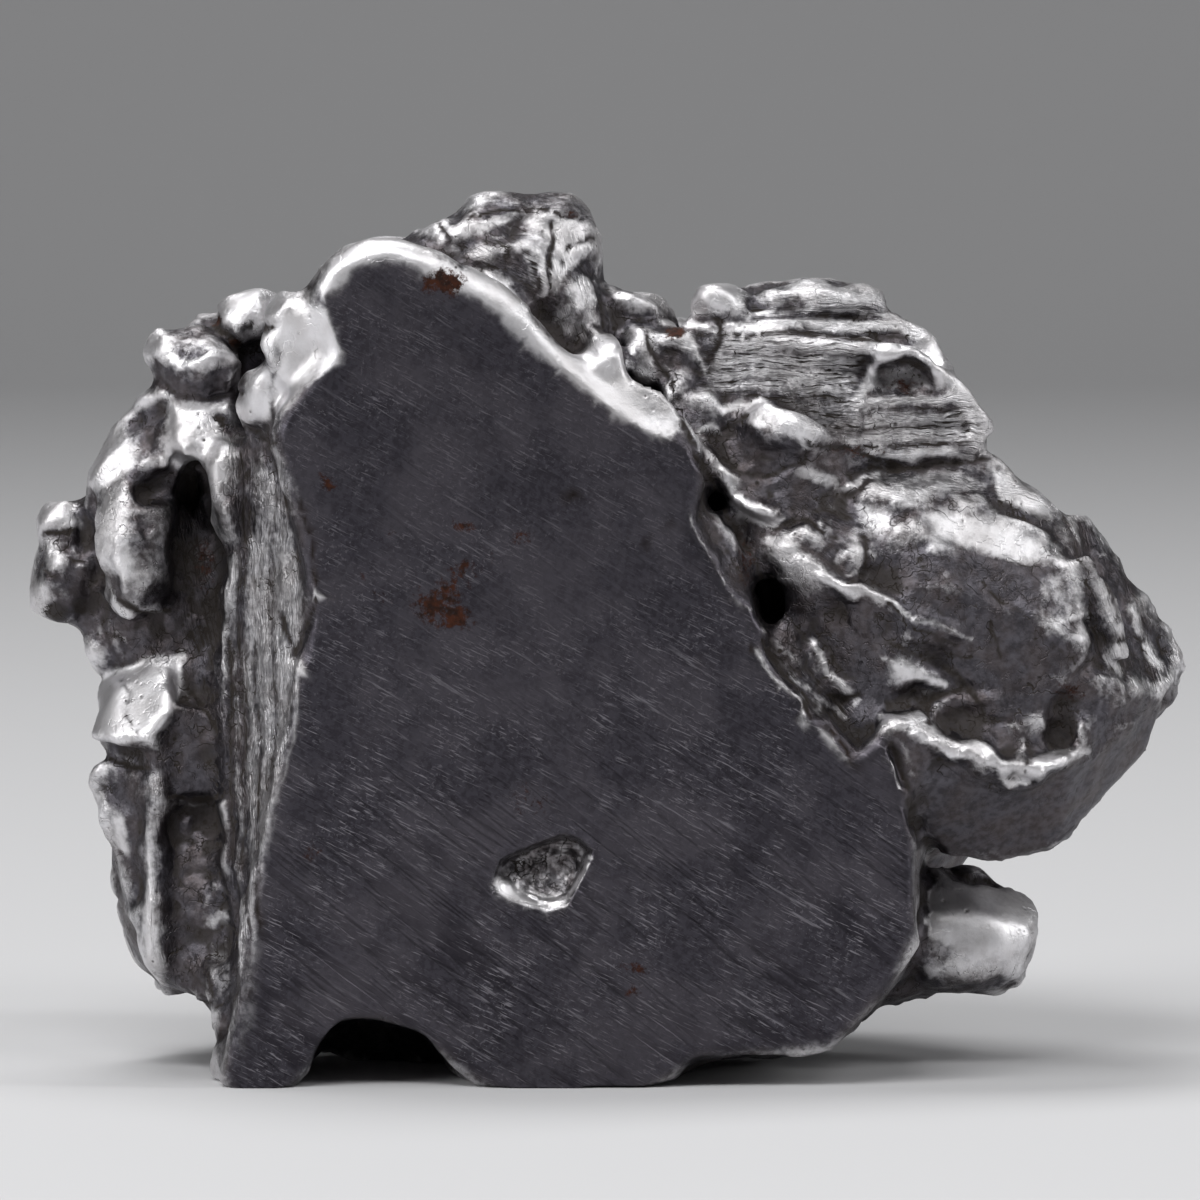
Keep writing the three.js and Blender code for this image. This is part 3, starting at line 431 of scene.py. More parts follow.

# Bright patches, worn polish and painted highlight together: feather in pixels, strength, outline
POLISH_AND_HIGHLIGHTS = [
    # the rolled lip along the top of the face, with a painted highlight on its polish
    (5, 1.0, 320, 300, 318, 284, 331, 258, 359, 239, 380, 232, 408, 239, 434, 256, 460, 267, 484, 267, 506,
     280, 521, 301, 536, 321, 560, 343, 582, 351, 599, 332, 623, 330, 632, 345, 634, 382, 653, 395, 671, 405,
     679, 425, 677, 440, 651, 434, 627, 424, 610, 412, 593, 400, 571, 382, 552, 366, 532, 352, 515, 333, 498,
     318, 482, 304, 463, 294, 430, 279, 404, 264, 380, 261, 362, 267, 342, 286),
    # great block
    (12, 0.85, 919, 511, 958, 507, 1012, 522, 1044, 541, 1053, 561, 1012, 561, 981, 552, 951, 545, 936, 541),
    (12, 0.45, 1040, 566, 1060, 572, 1084, 604, 1086, 618, 1066, 616, 1044, 592),
    (5, 0.9, 991, 470, 1007, 474, 1033, 489, 1052, 500, 1052, 520, 1030, 512, 1000, 500),
    (11, 0.7, 860, 502, 891, 504, 891, 530, 866, 538),
    (10, 0.6, 880, 474, 960, 470, 990, 486, 940, 494, 885, 492),
    (6, 0.5, 878, 651, 905, 655, 910, 683, 882, 680),
    (5, 0.8, 916, 712, 932, 718, 946, 742, 926, 735),
    (4, 0.9, 1012, 776, 1026, 758, 1050, 752, 1078, 750, 1050, 764, 1027, 780),
    # wedge and ledges
    (8, 0.7, 716, 338, 862, 336, 850, 396, 706, 390),
    (4, 0.35, 874, 372, 890, 358, 914, 362, 932, 376, 928, 390, 868, 390),
    (8, 0.4, 776, 396, 866, 394, 866, 446, 818, 440),
    (6, 1.0, 683, 290, 700, 280, 738, 279, 742, 300, 722, 312, 690, 312),
    (4, 0.8, 728, 488, 760, 505, 783, 520, 778, 529, 750, 520, 730, 502),
    (5, 0.7, 785, 464, 812, 465, 837, 476, 826, 486, 790, 478),
    (5, 0.6, 862, 412, 966, 410, 966, 445, 862, 444),
    (6, 0.7, 948, 385, 968, 384, 978, 420, 990, 452, 968, 446, 956, 410),
    (5, 0.8, 905, 340, 928, 340, 944, 366, 940, 385, 926, 360),
    # left flank
    (5, 1.0, 106, 668, 159, 658, 179, 657, 180, 685, 171, 720, 146, 738, 109, 741, 90, 727, 96, 691),
    (5, 0.85, 166, 399, 199, 399, 229, 403, 214, 420, 232, 439, 237, 452, 202, 463, 186, 469, 164, 459),
    (5, 0.9, 169, 394, 139, 397, 113, 427, 86, 464, 83, 486, 109, 489, 139, 466, 133, 449, 116, 446, 126, 424,
     146, 406),
    (5, 0.9, 202, 459, 229, 463, 227, 484, 212, 480),
    (5, 1.0, 299, 298, 325, 305, 341, 353, 331, 368, 299, 388, 285, 407, 275, 412, 274, 373, 282, 350, 266,
     338, 280, 310),
    (5, 0.95, 262, 363, 272, 370, 270, 419, 245, 422, 236, 411, 247, 386),
    (5, 1.0, 212, 303, 250, 286, 290, 296, 270, 312, 239, 322, 224, 322),
    (7, 0.7, 103, 530, 118, 526, 134, 556, 120, 570),
    (5, 0.9, 106, 814, 120, 812, 129, 856, 118, 850),
    (6, 0.6, 143, 850, 158, 850, 158, 890, 145, 888),
    (5, 0.9, 139, 920, 152, 922, 157, 956, 144, 950),
    (9, 0.5, 252, 459, 285, 462, 285, 532, 256, 530),
    (8, 0.55, 244, 530, 300, 520, 304, 620, 284, 760, 262, 880, 252, 1030, 244, 1030),
    (5, 0.35, 207, 949, 231, 949, 231, 996, 212, 994),
    # crest
    (4, 0.95, 547, 222, 572, 218, 586, 232, 588, 250, 578, 262, 566, 275, 556, 292, 549, 292, 551, 262, 552,
     240),
    (4, 0.8, 470, 226, 493, 218, 512, 206, 516, 214, 500, 226, 478, 236),
    (4, 0.6, 516, 214, 528, 214, 540, 222, 541, 236, 530, 232),
    (4, 0.6, 520, 232, 543, 234, 543, 276, 528, 272),
    (4, 0.7, 440, 240, 455, 240, 462, 252, 452, 258, 442, 252),
    # painted light on a pocket that lies in shadow behind the rim
    (9, 0.45, 556, 300, 585, 298, 600, 318, 592, 345, 566, 338, 552, 318),
    (4, 1.0, 467, 202, 480, 200, 486, 208, 480, 216, 468, 212),
    (5, 0.9, 391, 222, 408, 217, 414, 230, 398, 234),
    (6, 0.5, 420, 226, 440, 238, 462, 250, 450, 256, 424, 244),
    (4, 0.7, 526, 216, 538, 222, 538, 236, 526, 232),
    # right flank and the lump below
    (4, 1.0, 1122, 601, 1134, 603, 1141, 633, 1128, 630),
    (4, 1.0, 1141, 638, 1152, 642, 1160, 669, 1148, 662),
    (8, 0.9, 917, 888, 1000, 886, 1033, 900, 1030, 940, 1005, 966, 960, 955, 920, 934),
]

# Dark patches, dull metal and painted shade on facets turned from the lights and in shadowed places: feather
# in pixels, strength, outline
DULL_AND_SHADE = [
    (5, 0.9, 722, 425, 745, 419, 788, 436, 800, 446, 790, 458, 760, 464, 735, 452),
    (8, 0.7, 945, 545, 1000, 560, 1050, 566, 1034, 600, 960, 580, 920, 556),
    (10, 0.8, 765, 590, 800, 585, 860, 605, 900, 625, 880, 680, 850, 690, 815, 640, 780, 620),
    (8, 0.6, 735, 450, 800, 470, 824, 500, 812, 528, 775, 512, 742, 484),
    (14, 0.8, 870, 565, 915, 550, 950, 560, 1030, 572, 1050, 640, 1046, 690, 985, 735, 950, 680, 900, 610),
    (8, 1.0, 905, 790, 950, 762, 1008, 790, 1080, 760, 1178, 694, 1159, 765, 1106, 811, 1009, 874, 941, 860),
    (8, 0.8, 1046, 628, 1076, 632, 1100, 652, 1094, 690, 1062, 690, 1050, 660),
    (7, 0.8, 1086, 672, 1130, 688, 1158, 700, 1148, 722, 1110, 718, 1086, 702),
    (8, 0.6, 1072, 512, 1100, 528, 1136, 590, 1120, 600, 1096, 580, 1078, 548),
    (4, 0.9, 1080, 700, 1106, 704, 1104, 748, 1082, 746),
    (6, 0.6, 690, 520, 745, 560, 752, 600, 728, 596, 705, 552),
    (7, 0.6, 166, 700, 229, 700, 229, 793, 168, 793),
    (6, 0.7, 159, 932, 204, 945, 206, 990, 165, 988),
    (6, 0.6, 146, 752, 166, 752, 166, 925, 150, 925),
    (5, 1.0, 156, 366, 200, 370, 246, 360, 248, 390, 200, 397, 160, 388),
    (5, 0.6, 166, 326, 200, 318, 234, 340, 240, 350, 212, 350, 190, 360, 172, 348),
    (7, 0.75, 126, 466, 172, 468, 182, 500, 170, 575, 136, 572, 124, 520),
    (5, 0.6, 113, 577, 169, 575, 168, 604, 143, 606, 118, 596),
    (6, 0.6, 212, 490, 242, 490, 242, 530, 216, 530),
    (4, 0.8, 288, 516, 304, 520, 318, 590, 306, 596),
    (8, 0.7, 864, 975, 1000, 975, 960, 1005, 880, 1012),
    (6, 0.5, 636, 390, 660, 402, 690, 445, 706, 500, 684, 480, 676, 440, 650, 424),
    (5, 0.9, 468, 212, 500, 194, 530, 184, 564, 189, 590, 206, 596, 228, 566, 214, 530, 206, 500, 214),
    # painted shadow under the knob at the far left
    (7, 0.9, 40, 575, 60, 562, 90, 572, 102, 610, 86, 632, 58, 618),
]

# Flow marks: feather, heading right and down, spacing in pixels, rise in millimetres, share, outline
FLOW = [
    (8, 1.0, 0.02, 4, 0.06, 0.8, 700, 330, 860, 330, 862, 452, 840, 440, 760, 400, 700, 395),
    (6, 1.0, 0.0, 5, 0.07, 0.8, 860, 395, 975, 395, 985, 452, 860, 452),
    (6, 1.0, 0.06, 6, 0.06, 0.6, 742, 285, 900, 292, 945, 335, 900, 322, 742, 318),
    (6, 0.02, 1.0, 6, 0.05, 0.6, 229, 440, 300, 440, 300, 700, 262, 860, 245, 1050, 232, 1050),
    (8, 0.42, 1.0, 5.5, 0.12, 0.5, 1062, 502, 1095, 520, 1185, 660, 1170, 690, 1100, 680, 1070, 560),
    (5, 1.0, 0.12, 4, 0.05, 0.6, 468, 212, 530, 184, 596, 206, 598, 228, 566, 214, 500, 214),
    (8, 1.0, 0.45, 4.5, 0.08, 0.6, 450, 244, 520, 238, 550, 262, 556, 300, 520, 285),
    (8, 0.3, 1.0, 6, 0.08, 0.3, 552, 226, 600, 240, 600, 350, 556, 330),
    (8, 1.0, 0.5, 6, 0.12, 0.2, 770, 500, 870, 500, 870, 580, 780, 545),
    (10, 0.5, 1.0, 7, 0.09, 0.0, 90, 560, 180, 600, 180, 660, 100, 670),
    (8, 0.05, 1.0, 7, 0.08, 0.2, 133, 744, 165, 744, 165, 970, 140, 960),
    (8, 0.2, 1.0, 6, 0.12, 0.35, 172, 500, 214, 500, 226, 640, 226, 735, 184, 660),
    (8, 1.0, 1.1, 6, 0.12, 0.35, 760, 630, 810, 660, 860, 700, 830, 730, 790, 690),
    (8, 1.0, 0.7, 9, 0.16, 0.0, 166, 796, 229, 796, 229, 922, 166, 922),
    (8, 1.0, 0.2, 6, 0.1, 0.3, 860, 460, 990, 462, 1050, 500, 960, 500, 860, 500),
    (6, 1.0, 0.3, 7, 0.14, 0.15, 650, 318, 720, 324, 716, 385, 670, 385),
]

# Rust spots: x, y, half width, half height, strength
RUST = [
    (444, 280, 18, 10, 1.0), (452, 286, 10, 9, 1.0), (459, 525, 5, 4, 0.8), (468, 531, 5, 4, 0.8),
    (485, 534, 5, 4, 0.7), (438, 534, 4, 4, 0.7), (515, 535, 4, 4, 0.6), (533, 524, 4, 4, 0.6),
    (386, 531, 5, 4, 0.6), (492, 551, 5, 4, 0.6), (363, 581, 5, 5, 0.7), (326, 483, 5, 5, 0.6),
    (422, 717, 5, 4, 0.6), (385, 595, 5, 4, 0.6), (464, 569, 14, 8, 0.8), (440, 611, 22, 13, 0.65),
    (428, 604, 12, 9, 1.0), (459, 616, 9, 13, 1.0), (447, 590, 10, 8, 0.75), (636, 992, 5, 5, 0.7),
    (638, 968, 15, 4, 0.5), (675, 332, 9, 6, 1.0), (900, 385, 16, 8, 0.5), (214, 319, 8, 6, 0.7),
    (293, 851, 4, 4, 0.8), (309, 851, 4, 4, 0.8), (235, 342, 8, 4, 0.7), (530, 800, 22, 16, 0.25),
    (570, 215, 8, 4, 0.6), (205, 560, 10, 30, 0.4), (745, 560, 10, 30, 0.35), (860, 450, 30, 6, 0.35),
    (1070, 690, 16, 10, 0.4),
]

# Strokes on the ground face, short, slanted, steep and dark: heading in radians, length and spacing in
# millimetres, and the value of noise that they start at
STROKES = [
    (-0.44, 0.6, 0.06, 0.58),
    (-0.56, 1.9, 0.13, 0.63),
    (-0.66, 6.0, 0.5, 0.51),
    (-0.5, 0.7, 0.1, 0.6),
]


# The lump of iron

# In millimetres: corners of loose triangles this close are one, and the depth of the random grit that
# keeps the face's triangles even while they are thinned out
MERGE = 0.004
GRIT = 0.004


def read(mesh):
    """A mesh's vertex places, vertex normals and edges as arrays."""
    places = np.empty(len(mesh.vertices) * 3, np.float32)
    mesh.vertices.foreach_get("co", places)
    normals = np.empty(len(mesh.vertices) * 3, np.float32)
    mesh.vertex_normals.foreach_get("vector", normals)
    edges = np.empty(len(mesh.edges) * 2, np.int32)
    mesh.edges.foreach_get("vertices", edges)
    return places.reshape(-1, 3).astype(float), normals.reshape(-1, 3).astype(float), edges.reshape(-1, 2)


def write(mesh, places):
    """Puts new vertex places into a mesh."""
    mesh.vertices.foreach_set("co", places.astype(np.float32).ravel())
    mesh.update()


def add_object(name, data):
    """Makes an object and puts it in the scene."""
    made = bpy.data.objects.new(name, data)
    bpy.context.scene.collection.objects.link(made)
    return made


def merged_copy():
    """A copy of the CAD node's mesh in drawing millimetres, with its loose triangles joined."""
    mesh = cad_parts[NODE].data.copy()
    write(mesh, (read(mesh)[0] - drawing_corner()) * MILLIMETRES)
    work = bmesh.new()
    work.from_mesh(mesh)
    bmesh.ops.remove_doubles(work, verts=work.verts, dist=MERGE)
    work.to_mesh(mesh)
    work.free()
    mesh.materials.clear()
    return mesh


def apply_modifier(shape, kind, **settings):
    """Puts one modifier on a shape, gives the mesh that it makes back to the shape, and drops it."""
    modifier = shape.modifiers.new(kind.title(), kind)
    for name, value in settings.items():
        setattr(modifier, name, value)
    bpy.context.view_layer.update()
    made = bpy.data.meshes.new_from_object(shape.evaluated_get(bpy.context.evaluated_depsgraph_get()))
    shape.modifiers.clear()
    old = shape.data
    shape.data = made
    bpy.data.meshes.remove(old)


def averaged(values, edges, rounds, share=1.0):
    """Each round moves a vertex's values the share of the way to the mean of its neighbours' values."""
    one, other = edges.T
    count = len(values)
    flat = values.reshape(count, -1).copy()
    near = np.maximum(np.bincount(edges.ravel(), minlength=count), 1)[:, None]
    for _ in range(rounds):
        totals = [
            np.bincount(one, column[other], count) + np.bincount(other, column[one], count)
            for column in flat.T
        ]
        flat += (np.stack(totals, axis=1) / near - flat) * share
    return flat.reshape(values.shape)


def softened(places, edges, rounds):
    """Rounds off facets but keeps the bulk: a smoothing step in, then a slightly larger step out."""
    for _ in range(rounds):
        places = averaged(averaged(places, edges, 1, 0.5), edges, 1, -0.52)
    return places


def seen_first(seen, places, normals):
    """1 on what the camera sees and 0 behind it: the nearest depth in each small square of the picture."""
    # a square's side in pixels, the squares across the picture, and the depth of an empty square
    square, across, empty = 6, 200, 1e9
    bins = np.clip(seen / square, 0, across - 1).astype(int)
    index = bins[:, 1] * across + bins[:, 0]
    nearest = np.full(across * across, empty)
    np.minimum.at(nearest, index, places[:, 1])
    grid = nearest.reshape(across, across)
    padded = np.pad(grid, 1, constant_values=empty)
    for down, right in np.ndindex(3, 3):
        grid = np.minimum(grid, padded[down:down + across, right:right + across] + 0.5)
    behind = places[:, 1] - grid.ravel()[index]
    return (1 - ease(0.9, 2.2, behind)) * ease(-0.25, 0.1, -normals[:, 1] + normals[:, 2] * 0.07)


def face_share(seen, places, normals, feather=5, grow=0.0, depths=(0.06, 0.3), turns=(0.6, 0.9)):
    """1 on the ground face and 0 elsewhere and in its pit, by its outline, its depth and the way it looks."""
    level = 1 - ease(*depths, places[:, 1])
    facing = ease(*turns, -normals[:, 1])
    return within(seen, FACE, feather, grow) * level * facing * (1 - within(seen, PIT, 3))


def pit_shaped(seen, places):
    """Depths with the pit: steep from its edge, but gentle from its bank, with a knobbly floor."""
    gap = from_path(seen, PIT + PIT[:2])[0]
    bank = from_path(seen, PIT_BANK)[0]
    floor = 0.95 * np.minimum(ease(-2, 9, gap), ease(-4, 30, bank))
    floor += (crumple(places, 0.55, 71) - 0.6) * 0.32 * ease(3, 10, gap)
    zone = (places[:, 1] < 3) & (within(seen, PIT, 14) > 0)
    depth = np.where(within(seen, PIT, 0.01) > 0.5, floor, 0.0)
    return np.where(zone, depth, places[:, 1])


def wavered(seen, places):
    """Picture places moved a few pixels by slow and quick ripples, so that drawn forms turn natural."""
    return seen + drift(places / 1.4, 61, 2) * 3.5 + drift(places / 0.5, 63, 2) * 2.2


def beside(seen, path, half):
    """The places near a path, their gaps to it in half widths, and a fade to 0 at both of its ends."""
    here = near_box(seen, path, half * 4)
    gap, along = from_path(seen[here], path)
    return here, gap / half, 1 - (2 * along - 1) ** 8


def lift(tone, here, least):
    """Raises the tone of some places to at least what is given."""
    tone[here] = np.maximum(tone[here], least)


def marks(seen, shown, face):
    """Heights, tones and fibres of every ridge, crack, hollow, patch and run of flow marks; the tones hold
    painted highlight and painted shade as well as wear and soil.

    Ridges and cracks are bell curves of the gap to their path, a crack's lip is a bell 2.3 half widths
    out, a hollow is an eased dish, and flow marks are a ridged ripple drawn out along their direction.
    """
    height, polish_and_highlight, soil, dull = np.zeros((4, len(seen)))
    fibres = np.zeros((len(seen), 3))
    for half, rise, shine, *path in RIDGES:
        here, gap, fade = beside(seen, path, half)
        height[here] += rise * (np.exp(-(gap**2)) * fade)
        lift(polish_and_highlight, here, shine * np.exp(-((gap / 1.1) ** 2)))
    for half, deep, dark, *path in CRACKS:
        here, gap, fade = beside(seen, path, half)
        core = np.exp(-(gap**2))
        lip = np.exp(-3 * (gap - 2.3) ** 2) * fade
        height[here] += deep * (0.25 * lip - core * fade)
        # painted highlight along each crack's raised lip
        lift(polish_and_highlight, here, 0.35 * lip * (1 - face[here]))
        lift(soil, here, dark * core)
    for x, y, wide, tall, turn, deep, dark in HOLLOWS:
        here = near_box(seen, (x, y), max(wide, tall) * 2)
        cosine, sine = math.cos(math.radians(turn)), math.sin(math.radians(turn))
        right, down = (seen[here] - (x, y)).T
        out = np.hypot((right * cosine + down * sine) / wide, (down * cosine - right * sine) / tall)
        height[here] -= deep * (1 - ease(0.35, 1.15, out))
        # painted shade in the hollow
        lift(soil, here, dark * (1 - ease(0.5, 1.1, out)))
    for tone, patches in ((polish_and_highlight, POLISH_AND_HIGHLIGHTS), (dull, DULL_AND_SHADE)):
        for feather, strength, *corners in patches:
            here = near_box(seen, corners, feather * 2)
            lift(tone, here, strength * within(seen[here], corners, feather))
    for feather, right, down, spacing, rise, share, *corners in FLOW:
        here = near_box(seen, corners, feather * 2)
        way = np.array([right, down]) / np.hypot(right, down)
        run = seen[here] @ way / spacing
        over = seen[here] @ np.array([-way[1], way[0]]) / spacing
        still = np.zeros(len(here))
        bend = ripple(np.stack([run * 0.12, over * 0.12, still + 3], axis=1), 31) * 1.6
        rib = 1 - np.abs(ripple(np.stack([run * 0.13, over + bend, still], axis=1), 37)) * 2.2
        cover = within(seen[here], corners, feather) * (1 - face[here])
        height[here] += rise * rib * cover
        found = np.stack([run, over, cover * shown[here] * share], axis=1)
        fibres[here] = np.where((found[:, 2] > fibres[here, 2])[:, None], found, fibres[here])
    return height * shown, polish_and_highlight * shown, soil * shown, dull * shown, fibres


def rusted(seen, shown):
    """The share of rust at each place: the strongest of the rust spots, each fading from its centre."""
    rust = np.zeros(len(seen))
    for x, y, wide, tall, strength in RUST:
        here = near_box(seen, (x, y), max(wide, tall) * 2.2)
        out = np.hypot((seen[here, 0] - x) / wide, (seen[here, 1] - y) / tall)
        lift(rust, here, strength * (1 - ease(0.4, 1.6, out)))
    return rust * shown


def skewed(places, calm):
    """Places carried off by two vector ripples, so that drawn forms lose their even outlines."""
    slow = drift(places / 2.3, 81) * 0.3
    quick = drift(places / 0.95, 85) * 0.16
    return places + (slow + quick) * (1 - calm)[:, None]


def hammered(places):
    """Broad relief of the natural skin: dents with soft seams between them, and folds, in millimetres."""
    bent = places + np.stack([ripple(places / 4 + n * 9, 3 + n) for n in range(3)], axis=1) * 1.1
    near, following = cells(bent / 2.8, 11)
    dents = (near - 0.55) * 0.34
    seams = -0.08 * (1 - ease(0.02, 0.2, following - near))
    folds = (crumple(bent, 2.1, 21) - 0.6) * 0.22 * ease(-0.3, 0.5, ripple(places / 5, 23))
    return dents + seams + folds


def fretted(places):
    """Fine relief of the natural skin, in millimetres: small facets, and in patches folds and pinholes."""
    patch = ease(-0.45, 0.4, ripple(places / 2.6, 43))
    bent = places + drift(places / 0.9, 45) * 0.25
    chips = facets(bent / 0.95, 55) * 0.11
    folds = (crumple(bent, 0.75, 41) - 0.6) * 0.10 * patch
    pits = cells(places / 1.3, 51)[0]
    return chips + folds - 0.05 * (1 - ease(0.05, 0.14, pits)) * patch


def soften(shape):
    """Rounds facets off, most on polished patches and painted highlights and where the camera doesn't see,
    and skews the forms. Gives the face's share.
    """
    places, normals, edges = read(shape.data)
    seen = in_picture(places)
    face = face_share(seen, places, normals)
    shown = seen_first(seen, places, normals)
    _height, polish_and_highlight, _soil_and_shade, dull, fibres = marks(seen, shown, face)
    soft = softened(places, edges, 3)
    softer = softened(soft, edges, 9)
    soft += (softer - soft) * np.maximum(polish_and_highlight, 1 - shown)[:, None]
    places = places + (soft - places) * (1 - face[:, None])
    calm = np.maximum(np.maximum(polish_and_highlight, dull), fibres[:, 2]) * 0.8
    flat = within(seen, FACE, 12, 16) * (1 - ease(1.2, 2.4, places[:, 1]))
    write(shape.data, skewed(places, np.maximum(calm, flat)))
    return face


def emboss(shape, face, relief):
    """Moves the surface along its averaged normals by its marks and by the broad relief between them."""
    places, normals, edges = read(shape.data)
    seen = in_picture(places)
    broad = averaged(normals, edges, 4, 0.7)
    broad /= np.maximum(np.linalg.norm(broad, axis=1), 1e-9)[:, None]
    shown = seen_first(seen, places, normals)
    height, polish_and_highlight, _soil_and_shade, dull, fibres = marks(wavered(seen, places), shown, face)
    calm = np.maximum(np.maximum(polish_and_highlight * 0.8, ease(0.8, 1.0, dull)), within(seen, FACE, 10, 12) * shown)
    calm = np.maximum(np.maximum(calm, fibres[:, 2] * 0.75), shown * 0.45)
    height = (height + hammered(places) * (1 - calm) * relief) * (1 - face)
    write(shape.data, places + broad * height[:, None])


def roughen(shape, relief):
    """Adds the fine relief, levels the face and shapes its pit. Gives how freely triangles may go."""
    places, normals, _edges = read(shape.data)
    seen = in_picture(places)
    face = face_share(seen, places, normals)
    shown = seen_first(seen, places, normals)
    _height, polish_and_highlight, _soil_and_shade, dull, fibres = marks(wavered(seen, places), shown, face)
    calm = np.maximum(np.maximum(polish_and_highlight * 0.9, ease(0.8, 1.1, dull)), within(seen, FACE, 8, 12) * shown)
    calm = np.maximum(calm, fibres[:, 2] * 0.5)
    strength = relief * (1 - face) * (1 - calm) * (0.4 + 0.6 * shown)
    places = places + normals * (fretted(places) * strength)[:, None]
    places[:, 1] = np.where(face > 0.5, 0, places[:, 1])
    places[:, 1] = pit_shaped(seen, places)
    grit = scatter(np.round(places * 1000).astype(np.int64), 91) * GRIT
    places[:, 1] += grit * face
    write(shape.data, places)
    return 1 - np.maximum(face * 0.35, shown * 0.2)


def thin_out(shape, triangles, freely):
    """Leaves so many triangles: most where freely is 1, and the fewest lost on the face and in front."""
    group = shape.vertex_groups.new(name="freely")
    weights = np.round(freely, 3)
    for weight in np.unique(weights):
        group.add(np.nonzero(weights == weight)[0].tolist(), float(weight), "REPLACE")
    ratio = min(1, triangles / (len(shape.data.polygons) * 2))
    apply_modifier(shape, "DECIMATE", ratio=ratio, vertex_group="freely", vertex_group_factor=0.001)
    shape.vertex_groups.clear()


def level_face(shape):
    """Brings the ground face's grit back to its plane."""
    places = read(shape.data)[0]
    places[:, 1] = np.where(places[:, 1] < GRIT * 1.5, 0, places[:, 1])
    write(shape.data, places)


def build_iron(settings):
    """Makes the meteorite's mesh: the CAD solid, softened, marked, creased and pitted."""
    shape = add_object("torn_iron", merged_copy())
    apply_modifier(shape, "REMESH", mode="VOXEL", voxel_size=settings.first_grid)
    face = soften(shape)
    emboss(shape, face, settings.relief)
    apply_modifier(shape, "REMESH", mode="VOXEL", voxel_size=settings.last_grid)
    freely = roughen(shape, settings.relief)
    thin_out(shape, settings.triangles, freely)
    level_face(shape)
    return shape


def fit_to_node(shape):
    """Turns drawing millimetres into the node's metres, and keeps the shape inside the node's own box."""
    low, high = np.array(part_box(NODE))
    inset = 2e-5  # metres
    places = read(shape.data)[0] / MILLIMETRES + drawing_corner()
    write(shape.data, np.clip(places, low + [inset, 0, 0], high - inset))


def paint(shape):
    """Stores where the skin is worn, soiled, dull, rusted and ground, as attributes for the material, with
    painted highlight and painted shade among them.
    """
    places, normals, edges = read(shape.data)
    drawn = (places - drawing_corner()) * MILLIMETRES
    seen = in_picture(drawn)
    shown = seen_first(seen, drawn, normals)
    # the face's rolled edge has its dark finish too
    face = face_share(seen, drawn, normals, feather=7, grow=8, depths=(0.8, 1.5), turns=(-0.4, 0.2))
    _height, polish_and_highlight, soil, dull, fibres = marks(wavered(seen, drawn), shown, face)
    face = face * (1 - polish_and_highlight)
    pit = within(seen, PIT, 3) * (1 - ease(2.5, 3, drawn[:, 1]))
    level = within(seen, FACE, 14, 10) * (1 - ease(1.0, 2.0, drawn[:, 1])) * (1 - pit) * shown
    near = np.sum((drawn - averaged(drawn, edges, 5)) * normals, axis=1)
    wide = np.sum((drawn - averaged(drawn, edges, 45)) * normals, axis=1)
    raised = near / (0.1 - 0.06 * shown) + wide / 0.14
    # painted highlight: surfaces turned up, to the left and forward, towards the lights, count as worn and
    # turn lighter
    facing_lights = normals @ np.array([-0.25, -0.35, 0.9])
    wear = averaged(ease(0.5, 3.2, raised + facing_lights * 0.8) * (1 - face) * (1 - level), edges, 2)
    hidden = ease(0.5, 3.0, -raised) * (1 - face) * 0.7 * (1 - pit * 0.6) * (1 - polish_and_highlight * 0.7)
    layers = {
        "ground": face,
        "wear": np.clip(np.maximum(np.maximum(wear * 0.85, polish_and_highlight), pit * 0.3) * (1 - soil), 0, 1),
        "soil": np.clip(np.maximum(hidden, soil), 0, 1),
        "dull": np.clip(dull, 0, 1),
        "rust": rusted(seen, shown),
        "smooth": np.maximum(polish_and_highlight * 0.8, ease(0.8, 1.0, dull)),
        "fibrous": fibres[:, 2],
    }
    layer = shape.data.attributes.new("fibre", "FLOAT_VECTOR", "POINT")
    layer.data.foreach_set("vector", (fibres * (1, 1, 0)).astype(np.float32).ravel())
    for name, values in layers.items():
        layer = shape.data.attributes.new(name, "FLOAT", "POINT")
        layer.data.foreach_set("value", values.astype(np.float32))


# Shader nodes


class Value:
    """An output of a shader node. +, -, * and / with it add a Math node to its tree."""

    def __init__(self, socket):
        self.socket = socket
        self.tree = socket.id_data

    def __add__(self, other):
        return sums("ADD", self, other)

    def __sub__(self, other):
        return sums("SUBTRACT", self, other)

    def __rsub__(self, other):
        return sums("SUBTRACT", other, self)

    def __mul__(self, other):
        return sums("MULTIPLY", self, other)

    def __truediv__(self, other):
        return sums("DIVIDE", self, other)

    def __rtruediv__(self, other):
        return sums("DIVIDE", other, self)


def fill(socket, value):
    """Joins a value to a socket, or sets the socket to a plain number or colour."""
    if isinstance(value, Value):
        value.tree.links.new(value.socket, socket)
    elif socket.type == "RGBA":
        socket.default_value = (*value, 1.0)
    else:
        socket.default_value = value


def add_node(tree, kind, takes=(), **settings):
    """Adds a shader node, sets its plain properties, and fills its inputs, given by name or number."""
    column, row = divmod(len(tree.nodes), 8)
    made = tree.nodes.new(kind)
    made.location = (column * 200, row * -200)
    for name, value in settings.items():
        setattr(made, name, value)
    for socket, value in dict(takes).items():
        fill(made.inputs[socket], value)
    return made


def sums(operation, *values, clamp=False):
    """One Math node."""
    tree = next(value.tree for value in values if isinstance(value, Value))
    made = add_node(tree, "ShaderNodeMath", enumerate(values), operation=operation, use_clamp=clamp)
    return Value(made.outputs[0])


def most(first, second):
    """The larger of two values."""
    return sums("MAXIMUM", first, second)


def span(value, low, high, to_low=0.0, to_high=1.0):
    """One smooth Map Range node: low to high becomes to_low to to_high."""
    takes = enumerate((value, low, high, to_low, to_high))
    made = add_node(value.tree, "ShaderNodeMapRange", takes, interpolation_type="SMOOTHSTEP")
    return Value(made.outputs[0])


